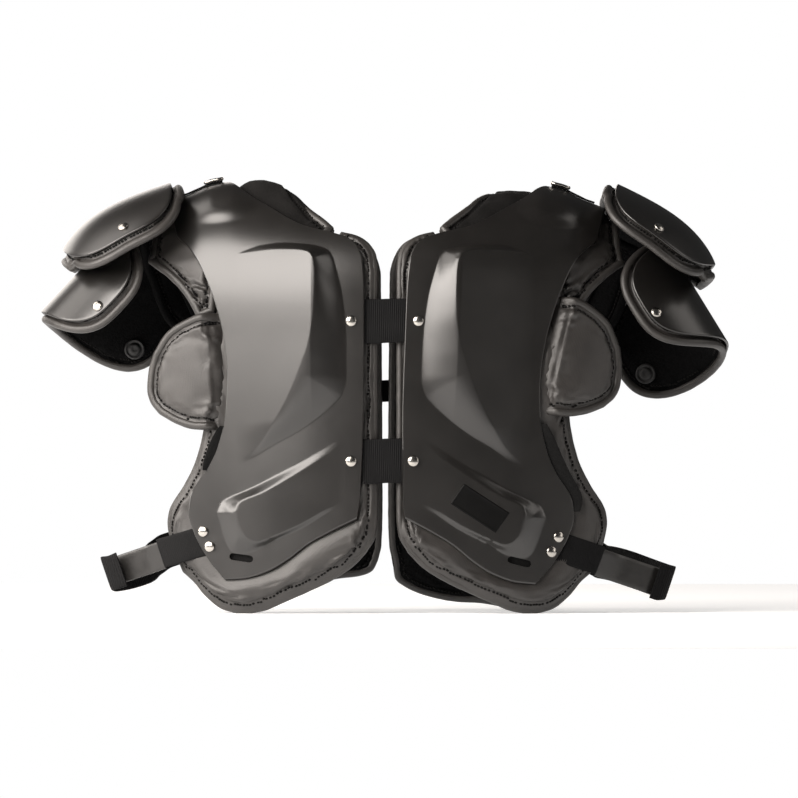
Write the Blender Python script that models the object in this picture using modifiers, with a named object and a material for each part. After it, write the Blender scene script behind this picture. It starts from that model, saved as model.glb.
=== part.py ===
"""Pair of sports shoulder pads: two arched halves with hinged epaulets, caps and side wings.

Frame: metres, +Z up, the floor at Z = 0, the chest side faces -Y, the centre plane is X = 0.
"left" is the half at -X and "right" the half at +X, as seen from the chest side.
Outlines are written in millimetres as (s, z): s is the distance from the centre plane.
"""
import math

import bmesh
import bpy
import numpy as np
from mathutils import Matrix, Vector

MM = 0.001
COLLECTION = "shoulder_pads"

# ---- driving dimensions (metres) ----
ARCH_HALF_DEPTH = 0.112          # centre plane to chest surface at the shoulder line
ARCH_SPRING_HEIGHT = 0.250       # where the straight legs end and the arch begins
ARCH_RISE = 0.118                # from there to the crown
ARCH_POWER = 2.3                 # superellipse exponent of the arch
LEG_LEAN = 0.06                  # the legs spread outwards by this much per metre of height
WRAP_LOSS = 0.32                 # how far the plates wrap back round the ribs
WRAP_REACH = 0.170
SHOULDER_DROP = 0.014            # fall of the crown towards the arm
SHOULDER_START = 0.130
SHOULDER_END = 0.188
PATH_SAMPLES = 400

SHELL_THICK = 0.0025
PAD_THICK = 0.013
PAD_LIFT = -0.005                # outer face of the body pads, under the shell's outer face
WING_LIFT = 0.008
WING_THICK = 0.011
PLATE_PAD_THICK = 0.009
WEB_THICK = 0.0012
GAP = 0.0006                     # clear space under a rivet head or a strap

FRONT_STRAP_WIDE = 0.0381        # 1 1/2 inch elastic
SIDE_STRAP_WIDE = 0.0254         # 1 inch webbing
LOOP_STRAP_WIDE = 0.030
REAR_STRAP_WIDE = 0.019
RIVET_RADIUS = 0.0048
RIVET_HIGH = 0.0024
SNAP_RADIUS = 0.009

# ---- how each half hangs at rest ----
STAND = Vector((0.00100, 0.0, 0.00055))   # puts the whole pair over the origin, feet on the floor
LEAN_SIDE = "right"                  # this half leans in at the bottom and down at the arm
LEAN_ANGLE = math.radians(2.2)
LEAN_FROM = 0.060                    # middle of the lean, out from the centre plane
LEAN_OUT = 0.003
LEAN_DOWN = 0.001
PAD_SHIFT = 0.004                    # its chest and back pads hang straight, this far out

# ---- outlines of one half, millimetres, floor upwards ----
SHELL_INNER = [(24, 82), (21.9, 96), (20, 130), (18.1, 188), (18.1, 270), (19.8, 303), (25, 316),
               (34.4, 322.5), (73, 333.7), (99, 348.3), (124.7, 362.9)]
SHELL_INNER_CROWN = 136
SHELL_OUTER = [(138, 29.5), (151.7, 46.5), (164.8, 71.4), (168.6, 86.5), (167.1, 99), (150.5, 126.4),
               (143.3, 142), (136.4, 172.5), (135, 203), (138, 234), (146.2, 267), (157.4, 296),
               (168, 316.5), (179, 334.5)]
SHELL_OUTER_CROWN = 187
SHELL_FOOT = [(24, 82), (45.8, 71.4), (65.7, 60.4), (84.3, 46.4), (102.6, 36.1), (122.6, 30.4),
              (138, 29.5)]

PAD_INNER = [(16.6, 52.7), (8.2, 68), (6.2, 88), (6.2, 295), (8, 310.5), (14.6, 322.5), (25.5, 329.7),
             (38, 333)]
PAD_FOOT = [(16.6, 52.7), (28.9, 40.4), (45.8, 29.7), (68.8, 18.9), (90.3, 9.7), (107.2, 2.8),
            (125.6, 0), (142.5, 3.5), (157.9, 14.3), (168.6, 26.7), (178.2, 34.9)]
PAD_OUTER = [(178.2, 34.9), (189.6, 63), (191.9, 77), (190.5, 86.7), (176.3, 111), (167.1, 129.5),
             (160.1, 155.7), (150, 200), (146, 262), (143, 330)]
PAD_HEAD = [(38, 333), (52, 311), (82, 313), (110, 322), (143, 330)]
BACK_FOOT_OUTER = [(125.6, 0), (142.5, 3.5), (157.9, 14.3), (168.6, 26.7), (178.2, 34.9)]
BACK_PAD_FOOT = {"left": [(7, 43), (12, 34), (22.7, 29.7), (45.8, 26.7), (68.8, 18.9),
                          (90.3, 9.7), (107.2, 2.8)] + BACK_FOOT_OUTER,
                 "right": [(7, 43), (9, 28), (20, 19), (42, 11), (64.5, 7), (85, 6),
                           (105, 3)] + BACK_FOOT_OUTER}
BACK_PAD_INNER = [(7, 43), (4, 56), (3, 88), (4.5, 295), (8, 310.5), (14.6, 322.5), (25.5, 329.7),
                  (38, 333)]

SHOULDER_INNER = [(152, 264), (154, 300), (155, 330), (156, 345)]
SHOULDER_OUTER = [(166.8, 253.3), (169.5, 263), (177.8, 276.6), (188.7, 289), (197, 299), (199, 315),
                  (200, 330)]
SHOULDER_INNER_CROWN = 156
SHOULDER_OUTER_CROWN = 200

NECK_INNER = [(45, 336), (51, 342), (62, 351), (72, 360)]
NECK_INNER_CROWN = 84
NECK_OUTER = [(56, 319), (80, 325), (107, 341), (130, 354)]
NECK_OUTER_CROWN = 150

WING_SEAM = [(145, 157), (145, 190), (145, 225), (148.5, 256.5)]
WING_FOOT = [(145, 157), (160.8, 157.4), (176.3, 161.7), (191.8, 170.3)]
WING_TIP = [(191.8, 170.3), (199.5, 180.6), (202.1, 191.8), (201.2, 205.5), (196.9, 222.7)]
WING_HEAD = [(148.5, 256.5), (154.8, 256.3), (171.1, 250.3), (185.8, 240), (196.9, 222.7)]

# ---- epaulet: a domed plate on a line that falls outwards from its hinge ----
EPAULET_HINGE = (0.184, 0.366)       # (s, z) of the hinge line at the arch top
EPAULET_ROOT = (0.184, 0.371)        # (s, z) where the ridge line starts
EPAULET_FALL = math.radians(33)
EPAULET_MID = 0.057                  # along the ridge, middle of the plate
EPAULET_LONG = 0.054                 # half sizes of the plate
EPAULET_WIDE = 0.088
EPAULET_BOW = 0.030                  # fall from the ridge to the side rims
EPAULET_CROWN = 0.0105               # how far the ridge rises over its line
PLATE_POWER = 3.0                    # superellipse exponent of both plates

# ---- cap: a plate wrapped round the upper arm ----
CAP_HINGE = (0.226, 0.330)
CAP_ROOT = (0.228, 0.333)
CAP_FALL = math.radians(46.7)
CAP_RADIUS = 0.080
CAP_MID = 0.052
CAP_LONG = 0.049
CAP_WIDE = 0.108                     # half of its girth, measured round the arm
CAP_ROLL = math.radians(20)          # its back edge hangs lower than its front edge
PLATE_PAD_EXTRA = 0.006              # how far a plate's pad stands out past its shell

EPAULET_RIVET = (0.056, 0.078)       # along the ridge, across it
CAP_RIVET = (0.0637, 0.105)          # along the ridge, round the arm from the middle line
CAP_SNAP = (0.0707, 0.098)
SNAP_HIGH = 0.003
SNAP_CLEAR = 0.0012                  # a flat disc inside a hollow curve stands off this much
CAP_STRAP_AT = 0.014
CAP_STRAP_LONG = 0.018

# ---- webbing ----
STRAP_LIFT = -0.0037                 # middle of webbing between shell and pad
SOFT_TRIM_THICK = 0.009
FRONT_STRAP_HEIGHTS = (0.250, 0.130)
REAR_LINK_HEIGHT = 0.190
CROSS_END = 0.036
CROSS_MID = 0.012
CROSS_RIVET = 0.029
SIDE_RIVETS = [(0.1557, 0.0697), (0.1501, 0.0568)]
SIDE_STRAP_START = (0.1529, 0.0632)
SIDE_STRAP_FALL = math.radians(19)
SIDE_STRAP_SLOPE = 0.48              # how far it runs back for each metre outwards
SIDE_STRAP_RUN = (0.142, 0.155, 0.168, 0.180, 0.191)
SIDE_STRAP_FREE = (0.4, 0.8)         # shares of the reach where the free strap has points
HOOK_FROM = 0.0165                   # past the pad's edge
HOOK_LONG = 0.0235
HOOK_WIDE = 0.024
HOOK_THICK = 0.002
LOOP_THICK = 0.0018
LOOP_OUTERMOST = 0.0434
STRAP_REACH = {"left": 0.001, "right": 0.0145}
LOOP_SHIFT = {"left": -0.005, "right": 0.003}
STRAP_TWIST = 0.2                    # lean of its width, to lie along the ribs
# past the pad's edge, depth, share of the reach, share of the shift, share of the twist
LOOP_RUN = [(0.0364, -0.0625, 1, 0.0, 1), (0.0434, -0.0600, 1, 0.1, 1), (0.0494, -0.0510, 1, 0.3, 1),
            (0.0459, -0.0410, 1, 0.6, 1), (0.0329, -0.0340, 1, 0.9, 0.7),
            (0.0169, -0.0120, 0.8, 1.0, 0), (0.0139, 0.0200, 0.4, 0.8, 0),
            (0.0119, 0.0500, 0, 0.4, -0.6), (0.0079, 0.0650, 0, 0.1, -1)]

EPAULET_STRAP_FROM = 0.140
EPAULET_STRAP_TO = 0.1775
RING_AT = 0.147
RING_SIZE = (0.014, 0.033)           # along s, along the arch
RING_CORNER = 0.003
RING_WIRE = 0.0028

SLOT_S = 0.123
SLOT_Z = 0.0473
SLOT_LONG = 0.0206
SLOT_HIGH = 0.006
SLOT_TILT = {"left": math.radians(8), "right": math.radians(14)}

SPINE = Vector((0.0, 0.118, 0.190))

# ---- rest position of each side's plates ----
# outward, upward, extra fall and pitch of the epaulet; the same and a yaw for the cap
EPAULET_REST = {"left": (0.0, 0.0, 0.0, 0.0),
                "right": (0.0145, -0.0013, math.radians(7.5), math.radians(4.0))}
CAP_REST = {"left": (0.0, 0.0, 0.0, 0.0, 0.0),
            "right": (0.006, -0.007, math.radians(4.0), math.radians(-14.0), math.radians(3.0))}
CAP_CENTRE = (0.240, 0.275)
WING_REST = {"left": (0.0, 0.0, 0.0), "right": (0.002, 0.0145, math.radians(7.0))}
WING_CENTRE = (0.170, 0.205)
SIDES = {"left": -1, "right": 1}


def arch_table():
    """Arc length from the crown, with the depth and height there, down to below the floor."""
    turn = np.linspace(math.pi / 2, 0.0, PATH_SAMPLES)
    depth = ARCH_HALF_DEPTH * np.cos(turn).clip(0) ** (2 / ARCH_POWER)
    height = ARCH_SPRING_HEIGHT + ARCH_RISE * np.sin(turn) ** (2 / ARCH_POWER)
    leg = 1.2 * ARCH_SPRING_HEIGHT
    depth = np.append(depth, depth[-1] + LEG_LEAN * leg)
    height = np.append(height, height[-1] - leg)
    steps = np.hypot(np.diff(depth), np.diff(height))
    return np.append(0.0, np.cumsum(steps)), depth, height


PATH, PATH_DEPTH, PATH_HEIGHT = arch_table()


def path_down_to(height):
    """Arc length from the crown down to a height."""
    return float(np.interp(-height, -PATH_HEIGHT, PATH))


PATH_SHOULDER = path_down_to(0.330)


def wrap(s):
    return 1.0 - WRAP_LOSS * (abs(s) / WRAP_REACH) ** 2.2


def near_top(height):
    """0 below the shoulder, 1 at the crown, smooth between."""
    share = min(1.0, max(0.0, (height - 0.29) / 0.06))
    return share**2 * (3 - 2 * share)


def shoulder_fall(s, height):
    reach = max(0.0, (abs(s) - SHOULDER_START) / (SHOULDER_END - SHOULDER_START))
    return SHOULDER_DROP * reach**1.5 * near_top(height)


def arch_point(side, s, p):
    """Point of the arch's outer surface; p runs along the arch, negative on the chest side."""
    depth = float(np.interp(abs(p), PATH, PATH_DEPTH))
    height = float(np.interp(abs(p), PATH, PATH_HEIGHT))
    fall = shoulder_fall(s, height)
    if side == LEAN_SIDE:
        fall += near_top(height) * max(0.0, s - LEAN_FROM) * math.sin(LEAN_ANGLE)
    return Vector((s, math.copysign(depth, p) * wrap(s), height - fall))


def arch_normal(side, s, p):
    step = 0.002
    across = arch_point(side, s + step, p) - arch_point(side, s - step, p)
    along = arch_point(side, s, p + step) - arch_point(side, s, p - step)
    return across.cross(along).normalized()


def lean(side, s, p):
    """Move a place on the arch to where it lies on the half that leans."""
    if side != LEAN_SIDE:
        return s, p
    down = max(0.0, abs(p) - PATH_SHOULDER)
    share = min(1.0, down / PATH_SHOULDER)
    moved = abs(p) + share * (LEAN_DOWN + (s - LEAN_FROM) * math.sin(LEAN_ANGLE))
    return s + LEAN_OUT - down * math.sin(LEAN_ANGLE), math.copysign(moved, p)


def skin(side, s, p, lift):
    """Point at a distance over the arch's outer surface."""
    return arch_point(side, s, p) + lift * arch_normal(side, s, p)


def leaning_skin(side, s, p, lift):
    return skin(side, *lean(side, s, p), lift)


def smooth_curve(points):
    """Curve through points that never overshoots them, as a function of 0 to 1 by chord length."""
    knots = np.array(points, dtype=float)
    spans = np.linalg.norm(np.diff(knots, axis=0), axis=1)
    place = np.append(0.0, np.cumsum(spans))
    slopes = np.diff(knots, axis=0) / spans[:, None]
    before, after = slopes[:-1], slopes[1:]
    total = np.where(before * after > 0, before + after, 1.0)
    middle = np.where(before * after > 0, 2 * before * after / total, 0.0)
    tangents = np.vstack([slopes[:1], middle, slopes[-1:]])

    def curve(t):
        at = min(max(t, 0.0), 1.0) * place[-1]
        i = min(int(np.searchsorted(place, at, side="right")) - 1, len(spans) - 1)
        x = (at - place[i]) / spans[i]
        start, end = knots[i], knots[i + 1]
        return ((2 * x**3 - 3 * x**2 + 1) * start + (x**3 - 2 * x**2 + x) * spans[i] * tangents[i]
                + (3 * x**2 - 2 * x**3) * end + (x**3 - x**2) * spans[i] * tangents[i + 1])

    return curve


def flat_curve(points, face):
    """Curve of (s, p) from outline points (s, z) in millimetres; face is -1 chest, 1 back."""
    return smooth_curve([(s * MM, face * path_down_to(z * MM)) for s, z in points])


def arch_curve(points, crown):
    """The same outline up the chest, over the crown and down the back."""
    chest = [(s * MM, -path_down_to(z * MM)) for s, z in points]
    back = [(s, -p) for s, p in reversed(chest)]
    return smooth_curve(chest + [(crown * MM, 0.0)] + back)


def patch(foot, head, inner, outer):
    """Surface between four curves: u from inner to outer, v from foot to head."""
    corners = foot(0), foot(1), head(0), head(1)

    def at(u, v):
        blend = (1 - v) * foot(u) + v * head(u) + (1 - u) * inner(v) + u * outer(v)
        return blend - ((1 - u) * (1 - v) * corners[0] + u * (1 - v) * corners[1]
                        + (1 - u) * v * corners[2] + u * v * corners[3])

    return at


def rounded(u, v):
    """A square's point moved into the superellipse inside it; both run from -1 to 1."""
    x, y = 2 * u - 1, 2 * v - 1
    size = (abs(x) ** PLATE_POWER + abs(y) ** PLATE_POWER) ** (1 / PLATE_POWER)
    scale = max(abs(x), abs(y)) / size if size > 0 else 0.0
    return x * scale, y * scale


def ridge_point(root, fall, along, across, height):
    """Point in a plate's own frame: along its ridge, across it, and over it."""
    s = root[0] + along * math.cos(fall) + height * math.sin(fall)
    z = root[1] - along * math.sin(fall) + height * math.cos(fall)
    return Vector((s, across, z))


def turn_about(point, axis, angle):
    """Swing a point down and outwards about a front-to-back line at (s, z)."""
    s, z = point.x - axis[0], point.z - axis[1]
    cos, sin = math.cos(angle), math.sin(angle)
    return Vector((axis[0] + s * cos + z * sin, point.y, axis[1] - s * sin + z * cos))


def place(side, point):
    """Put a point of a half, given with +X outwards, on its side of the centre plane."""
    return Vector((SIDES[side] * point.x, point.y, point.z)) + STAND


def swing(point, centre, yaw, pitch):
    """Turn a point about a centre: yaw about the vertical, pitch about the side axis."""
    turn = Matrix.Rotation(yaw, 3, "Z") @ Matrix.Rotation(pitch, 3, "X")
    return turn @ (point - centre) + centre


def rest_epaulet(side, point):
    out, up, fall, pitch = EPAULET_REST[side]
    pitched = swing(point, Vector((EPAULET_HINGE[0], 0, EPAULET_HINGE[1])), 0.0, -pitch)
    return turn_about(pitched, EPAULET_HINGE, fall) + Vector((out, 0, up))


def rest_cap(side, point):
    out, up, fall, yaw, pitch = CAP_REST[side]
    centre = Vector((CAP_CENTRE[0], 0, CAP_CENTRE[1]))
    turned = turn_about(swing(point, centre, yaw, -pitch), CAP_HINGE, fall)
    return rest_epaulet(side, turned + Vector((out, 0, up)))


def epaulet_surface(along, across):
    """Outer surface of the epaulet shell, by distance along its ridge and across it."""
    share = min(max(along / (2 * EPAULET_MID), 0.0), 1.0)
    crown = EPAULET_CROWN * math.sin(math.pi * share**1.25) ** 0.8
    bow = EPAULET_BOW * (across / EPAULET_WIDE) ** 2
    return ridge_point(EPAULET_ROOT, EPAULET_FALL, along, across, crown - bow)


def cap_surface(along, girth):
    """Outer surface of the cap shell; girth is measured round the arm from its middle line."""
    angle = girth / CAP_RADIUS + CAP_ROLL
    height = CAP_RADIUS * (math.cos(angle) - 1)
    return ridge_point(CAP_ROOT, CAP_FALL, along, CAP_RADIUS * math.sin(angle), height)


def over(surface, along, across, lift):
    """Point at a distance over a plate's surface."""
    step = 0.001
    lengthways = surface(along + step, across) - surface(along - step, across)
    sideways = surface(along, across + step) - surface(along, across - step)
    return surface(along, across) + lift * lengthways.cross(sideways).normalized()


def epaulet_point(u, v, grow, lift):
    x, y = rounded(u, v)
    along = EPAULET_MID + x * (EPAULET_LONG + grow)
    return over(epaulet_surface, along, y * (EPAULET_WIDE + grow), lift)


def cap_point(u, v, grow, lift):
    x, y = rounded(u, v)
    return over(cap_surface, CAP_MID + x * (CAP_LONG + grow), y * (CAP_WIDE + grow), lift)


# ---------------------------------------------------------------- object helpers

def clear_scene():
    for obj in list(bpy.data.objects):
        bpy.data.objects.remove(obj, do_unlink=True)


def make_collection(name):
    collection = bpy.data.collections.new(name)
    bpy.context.scene.collection.children.link(collection)
    return collection


def make_material(name, colour, roughness, metallic=0.0):
    material = bpy.data.materials.new(name)
    material.use_nodes = True
    shader = material.node_tree.nodes["Principled BSDF"]
    shader.inputs["Base Color"].default_value = (*colour, 1.0)
    shader.inputs["Roughness"].default_value = roughness
    shader.inputs["Metallic"].default_value = metallic
    return material


def add_object(name, mesh, material):
    obj = bpy.data.objects.new(name, mesh)
    PARTS.objects.link(obj)
    mesh.materials.append(material)
    return obj


def grid_mesh(name, shape, columns, rows, flip):
    """A grid bent into a surface: shape turns (u, v), both 0 to 1, into a world point."""
    work = bmesh.new()
    bmesh.ops.create_grid(work, x_segments=columns, y_segments=rows, size=0.5)
    for vert in work.verts:
        vert.co = shape(vert.co.x + 0.5, vert.co.y + 0.5)
    if flip:
        bmesh.ops.reverse_faces(work, faces=work.faces)
    mesh = bpy.data.meshes.new(name)
    work.to_mesh(mesh)
    work.free()
    mesh.shade_smooth()
    return mesh


def plate(name, side, shape, columns, rows, thickness, material):
    """A shell or pad: the outer surface of one side, thickened inwards."""
    mesh = grid_mesh(name, lambda u, v: place(side, shape(u, v)), columns, rows, side == "left")
    mesh.set_sharp_from_angle(angle=math.radians(40))
    obj = add_object(f"{side}_{name}", mesh, material)
    solid = obj.modifiers.new("thickness", "SOLIDIFY")
    solid.thickness = thickness
    solid.offset = -1.0
    return obj


def on_arch(side, area, lift):
    """Surface function for an area of (s, p), laid at a distance over the arch."""
    return lambda u, v: leaning_skin(side, *area(u, v), lift)


def rivet(name, side, where, radius=RIVET_RADIUS, high=RIVET_HIGH, material=None):
    """A domed head on a surface: where(0), where(1) give points at the surface and over it."""
    foot = place(side, where(0.0))
    normal = (place(side, where(0.001)) - foot).normalized()
    work = bmesh.new()
    bmesh.ops.create_cone(work, cap_ends=True, segments=12, radius1=radius, radius2=radius * 0.55,
                          depth=high)
    mesh = bpy.data.meshes.new(name)
    work.to_mesh(mesh)
    work.free()
    mesh.shade_smooth()
    mesh.set_sharp_from_angle(angle=math.radians(30))
    obj = add_object(f"{side}_{name}", mesh, material or STEEL)
    centre = foot + normal * (GAP + high / 2)
    turn = normal.to_track_quat("Z", "Y").to_matrix().to_4x4()
    obj.matrix_world = Matrix.Translation(centre) @ turn
    return obj


def band(name, side, edge, width, thickness, steps, material):
    """Flat webbing: edge(offset) lists points along it, at an offset from its middle line."""
    low, high = edge(-width / 2), edge(width / 2)
    if side:
        low, high = [[place(side, point) for point in line] for line in (low, high)]
    low, high = smooth_curve(low), smooth_curve(high)
    mesh = grid_mesh(name, lambda u, v: Vector(low(u)).lerp(Vector(high(u)), v), steps, 1, False)
    obj = add_object(name, mesh, material)
    solid = obj.modifiers.new("thickness", "SOLIDIFY")
    solid.thickness = thickness
    solid.offset = 0.0
    return obj


def hinge_empty(name, place, parent=None):
    """An empty on a joint's axis, at a world place, under another hinge's empty or none."""
    empty = bpy.data.objects.new(name, None)
    empty.empty_display_size = 0.02
    empty.parent = parent
    empty.location = place - (hinge_place(parent) if parent else Vector())
    PARTS.objects.link(empty)
    return empty


def hinge_place(empty):
    above = hinge_place(empty.parent) if empty.parent else Vector()
    return above + empty.location


def hang(pieces, empty):
    """Parent pieces to a hinge's empty, with each piece's origin on the hinge."""
    for piece in pieces:
        piece.data.transform(Matrix.Translation(-hinge_place(empty)) @ piece.matrix_basis)
        piece.matrix_basis = Matrix.Identity(4)
        piece.parent = empty


# ---------------------------------------------------------------- sub-parts

def arch_shell(side):
    """One-piece plastic arch: chest plate, shoulder and back plate, with a strap slot."""
    area = patch(flat_curve(SHELL_FOOT, -1), flat_curve(SHELL_FOOT, 1),
                 arch_curve(SHELL_INNER, SHELL_INNER_CROWN), arch_curve(SHELL_OUTER, SHELL_OUTER_CROWN))
    shell = plate("arch_shell", side, on_arch(side, area, 0.0), 9, 34, SHELL_THICK, PLASTIC)
    cut = shell.modifiers.new("strap_slot", "BOOLEAN")
    cut.operation = "DIFFERENCE"
    cut.solver = "EXACT"
    cut.object = slot_cutter(side)
    return shell


def slot_cutter(side):
    work = bmesh.new()
    bmesh.ops.create_cube(work, size=1.0)
    mesh = bpy.data.meshes.new("slot_cutter")
    work.to_mesh(mesh)
    work.free()
    obj = bpy.data.objects.new(f"{side}_slot_cutter", mesh)
    CUTTERS.objects.link(obj)
    obj.hide_render = True
    obj.display_type = "WIRE"
    middle = place(side, leaning_skin(side, SLOT_S, -path_down_to(SLOT_Z), 0.0))
    tilt = SLOT_TILT[side]
    size = Matrix.Diagonal((SLOT_LONG, 12 * SHELL_THICK, SLOT_HIGH, 1))
    obj.matrix_world = Matrix.Translation(middle) @ Matrix.Rotation(tilt, 4, "Y") @ size
    return obj


def body_pad(side, face):
    """Quilted pad behind the chest plate (face -1) or the back plate (face 1)."""
    inner, foot = (PAD_INNER, PAD_FOOT) if face < 0 else (BACK_PAD_INNER, BACK_PAD_FOOT[side])
    area = patch(flat_curve(foot, face), flat_curve(PAD_HEAD, face),
                 flat_curve(inner, face), flat_curve(PAD_OUTER, face))
    name = "front_pad" if face < 0 else "back_pad"
    shift = PAD_SHIFT if side == LEAN_SIDE and face < 0 else 0.0

    def shape(u, v):
        s, p = area(u, v if face < 0 else 1 - v)
        return skin(side, s + shift, p, PAD_LIFT)

    return plate(name, side, shape, 8, 12, PAD_THICK, FABRIC)


def shoulder_pad(side):
    inner = arch_curve(SHOULDER_INNER, SHOULDER_INNER_CROWN)
    outer = arch_curve(SHOULDER_OUTER, SHOULDER_OUTER_CROWN)
    area = patch(smooth_curve([inner(0), outer(0)]), smooth_curve([inner(1), outer(1)]), inner, outer)
    return plate("shoulder_pad", side, on_arch(side, area, PAD_LIFT), 4, 16, SOFT_TRIM_THICK, FABRIC)


def neck_pad(side):
    inner = arch_curve(NECK_INNER, NECK_INNER_CROWN)
    outer = arch_curve(NECK_OUTER, NECK_OUTER_CROWN)
    area = patch(smooth_curve([inner(0), outer(0)]), smooth_curve([inner(1), outer(1)]), inner, outer)
    return plate("neck_pad", side, on_arch(side, area, PAD_LIFT), 4, 14, SOFT_TRIM_THICK, COLLAR)


def wing_curve(side, points):
    """Outline of a wing pad as it hangs on its side."""
    out, up, angle = WING_REST[side]
    moved = []
    for s, z in points:
        turned = turn_about(Vector((s * MM, 0, z * MM)), WING_CENTRE, angle)
        moved.append(((turned.x + out) / MM, (turned.z + up) / MM))
    return flat_curve(moved, -1)


def wing_hinge(side, share):
    """Point of the seam that a wing pad folds on, at a share of its height."""
    s, p = wing_curve(side, WING_SEAM)(share)
    return place(side, leaning_skin(side, s, p, WING_LIFT - WING_THICK))


def wing_pad(side):
    """Side pad that folds forward on its sewn seam beside the chest plate."""
    area = patch(*[wing_curve(side, line) for line in (WING_FOOT, WING_HEAD, WING_SEAM, WING_TIP)])
    return plate("wing_pad", side, on_arch(side, area, WING_LIFT), 5, 6, WING_THICK, FABRIC)


def epaulet(side):
    """Domed shoulder plate, its pad, and one rivet near each rim."""
    def shell(u, v):
        return rest_epaulet(side, epaulet_point(u, v, 0.0, 0.0))

    def pad(u, v):
        return rest_epaulet(side, epaulet_point(u, v, PLATE_PAD_EXTRA, -SHELL_THICK - GAP))

    pieces = [plate("epaulet_shell", side, shell, 10, 12, SHELL_THICK, PLASTIC),
              plate("epaulet_pad", side, pad, 8, 10, PLATE_PAD_THICK, FABRIC)]
    for end, across in (("front", -EPAULET_RIVET[1]), ("back", EPAULET_RIVET[1])):
        pieces.append(rivet(f"epaulet_rivet_{end}", side, lambda h, y=across: rest_epaulet(
            side, over(epaulet_surface, EPAULET_RIVET[0], y, h))))
    return pieces


def cap(side):
    """Arm cap: a plate wrapped round the upper arm, its pad, rivets, snap and hanging strap."""
    def shell(u, v):
        return rest_cap(side, cap_point(u, v, 0.0, 0.0))

    def pad(u, v):
        return rest_cap(side, cap_point(u, v, PLATE_PAD_EXTRA, -SHELL_THICK - GAP))

    def spot(along, girth, lift):
        return rest_cap(side, over(cap_surface, along, girth, lift))

    def hanger(u, v):
        return spot(CAP_STRAP_LONG * (u - 0.5) + CAP_STRAP_AT, (v - 0.5) * SIDE_STRAP_WIDE
                    - CAP_ROLL * CAP_RADIUS, GAP + WEB_THICK)

    inside = -SHELL_THICK - GAP - PLATE_PAD_THICK - SNAP_CLEAR
    return [
        plate("cap_shell", side, shell, 8, 16, SHELL_THICK, PLASTIC),
        plate("cap_pad", side, pad, 7, 14, PLATE_PAD_THICK, FABRIC),
        plate("cap_strap", side, hanger, 3, 4, WEB_THICK, WEBBING),
        rivet("cap_rivet_front", side, lambda h: spot(CAP_RIVET[0], -CAP_RIVET[1], h)),
        rivet("cap_rivet_back", side, lambda h: spot(CAP_RIVET[0], CAP_RIVET[1], h)),
        rivet("cap_snap", side, lambda h: spot(CAP_SNAP[0], CAP_SNAP[1], inside - h),
              SNAP_RADIUS, SNAP_HIGH, RUBBER),
    ]


def epaulet_strap(side):
    """Webbing over the arch top that carries the epaulet, with its metal ring."""
    def area(u, v):
        s = EPAULET_STRAP_FROM + u * (EPAULET_STRAP_TO - EPAULET_STRAP_FROM)
        return s, SIDE_STRAP_WIDE * (v - 0.5)

    strap = plate("epaulet_strap", side, on_arch(side, area, GAP + WEB_THICK), 4, 2, WEB_THICK, WEBBING)
    curve = bpy.data.curves.new("ring", "CURVE")
    curve.dimensions = "3D"
    curve.bevel_depth = RING_WIRE / 2
    curve.bevel_resolution = 2
    curve.render_resolution_u = 0
    spline = curve.splines.new("POLY")
    spline.use_cyclic_u = True
    half_s, half_p, corner = RING_SIZE[0] / 2, RING_SIZE[1] / 2, RING_CORNER
    spots = [(half_s, half_p - corner), (half_s - corner, half_p), (corner - half_s, half_p),
             (-half_s, half_p - corner), (-half_s, corner - half_p), (corner - half_s, -half_p),
             (half_s - corner, -half_p), (half_s, corner - half_p)]
    spline.points.add(len(spots) - 1)
    height = GAP + WEB_THICK + GAP + RING_WIRE / 2
    for point, (s, p) in zip(spline.points, spots):
        point.co = (*place(side, leaning_skin(side, RING_AT + s, p, height)), 1.0)
    return [strap, add_object(f"{side}_epaulet_strap_ring", curve, STEEL)]


def strap_line(s):
    """Height of the side strap's middle line where it is s from the centre plane."""
    return SIDE_STRAP_START[1] - (s - SIDE_STRAP_START[0]) * math.tan(SIDE_STRAP_FALL)


def under_shell(side, s, z, face):
    """Point between the shell and the pad behind it, where webbing runs."""
    return leaning_skin(side, s, face * path_down_to(z), STRAP_LIFT)


def strap_under(side, s, offset, face=-1):
    """Point of a side strap where it lies under the shell, offset across its width."""
    out = s + offset * math.sin(SIDE_STRAP_FALL)
    return under_shell(side, out, strap_line(s) + offset * math.cos(SIDE_STRAP_FALL), face)


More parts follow.
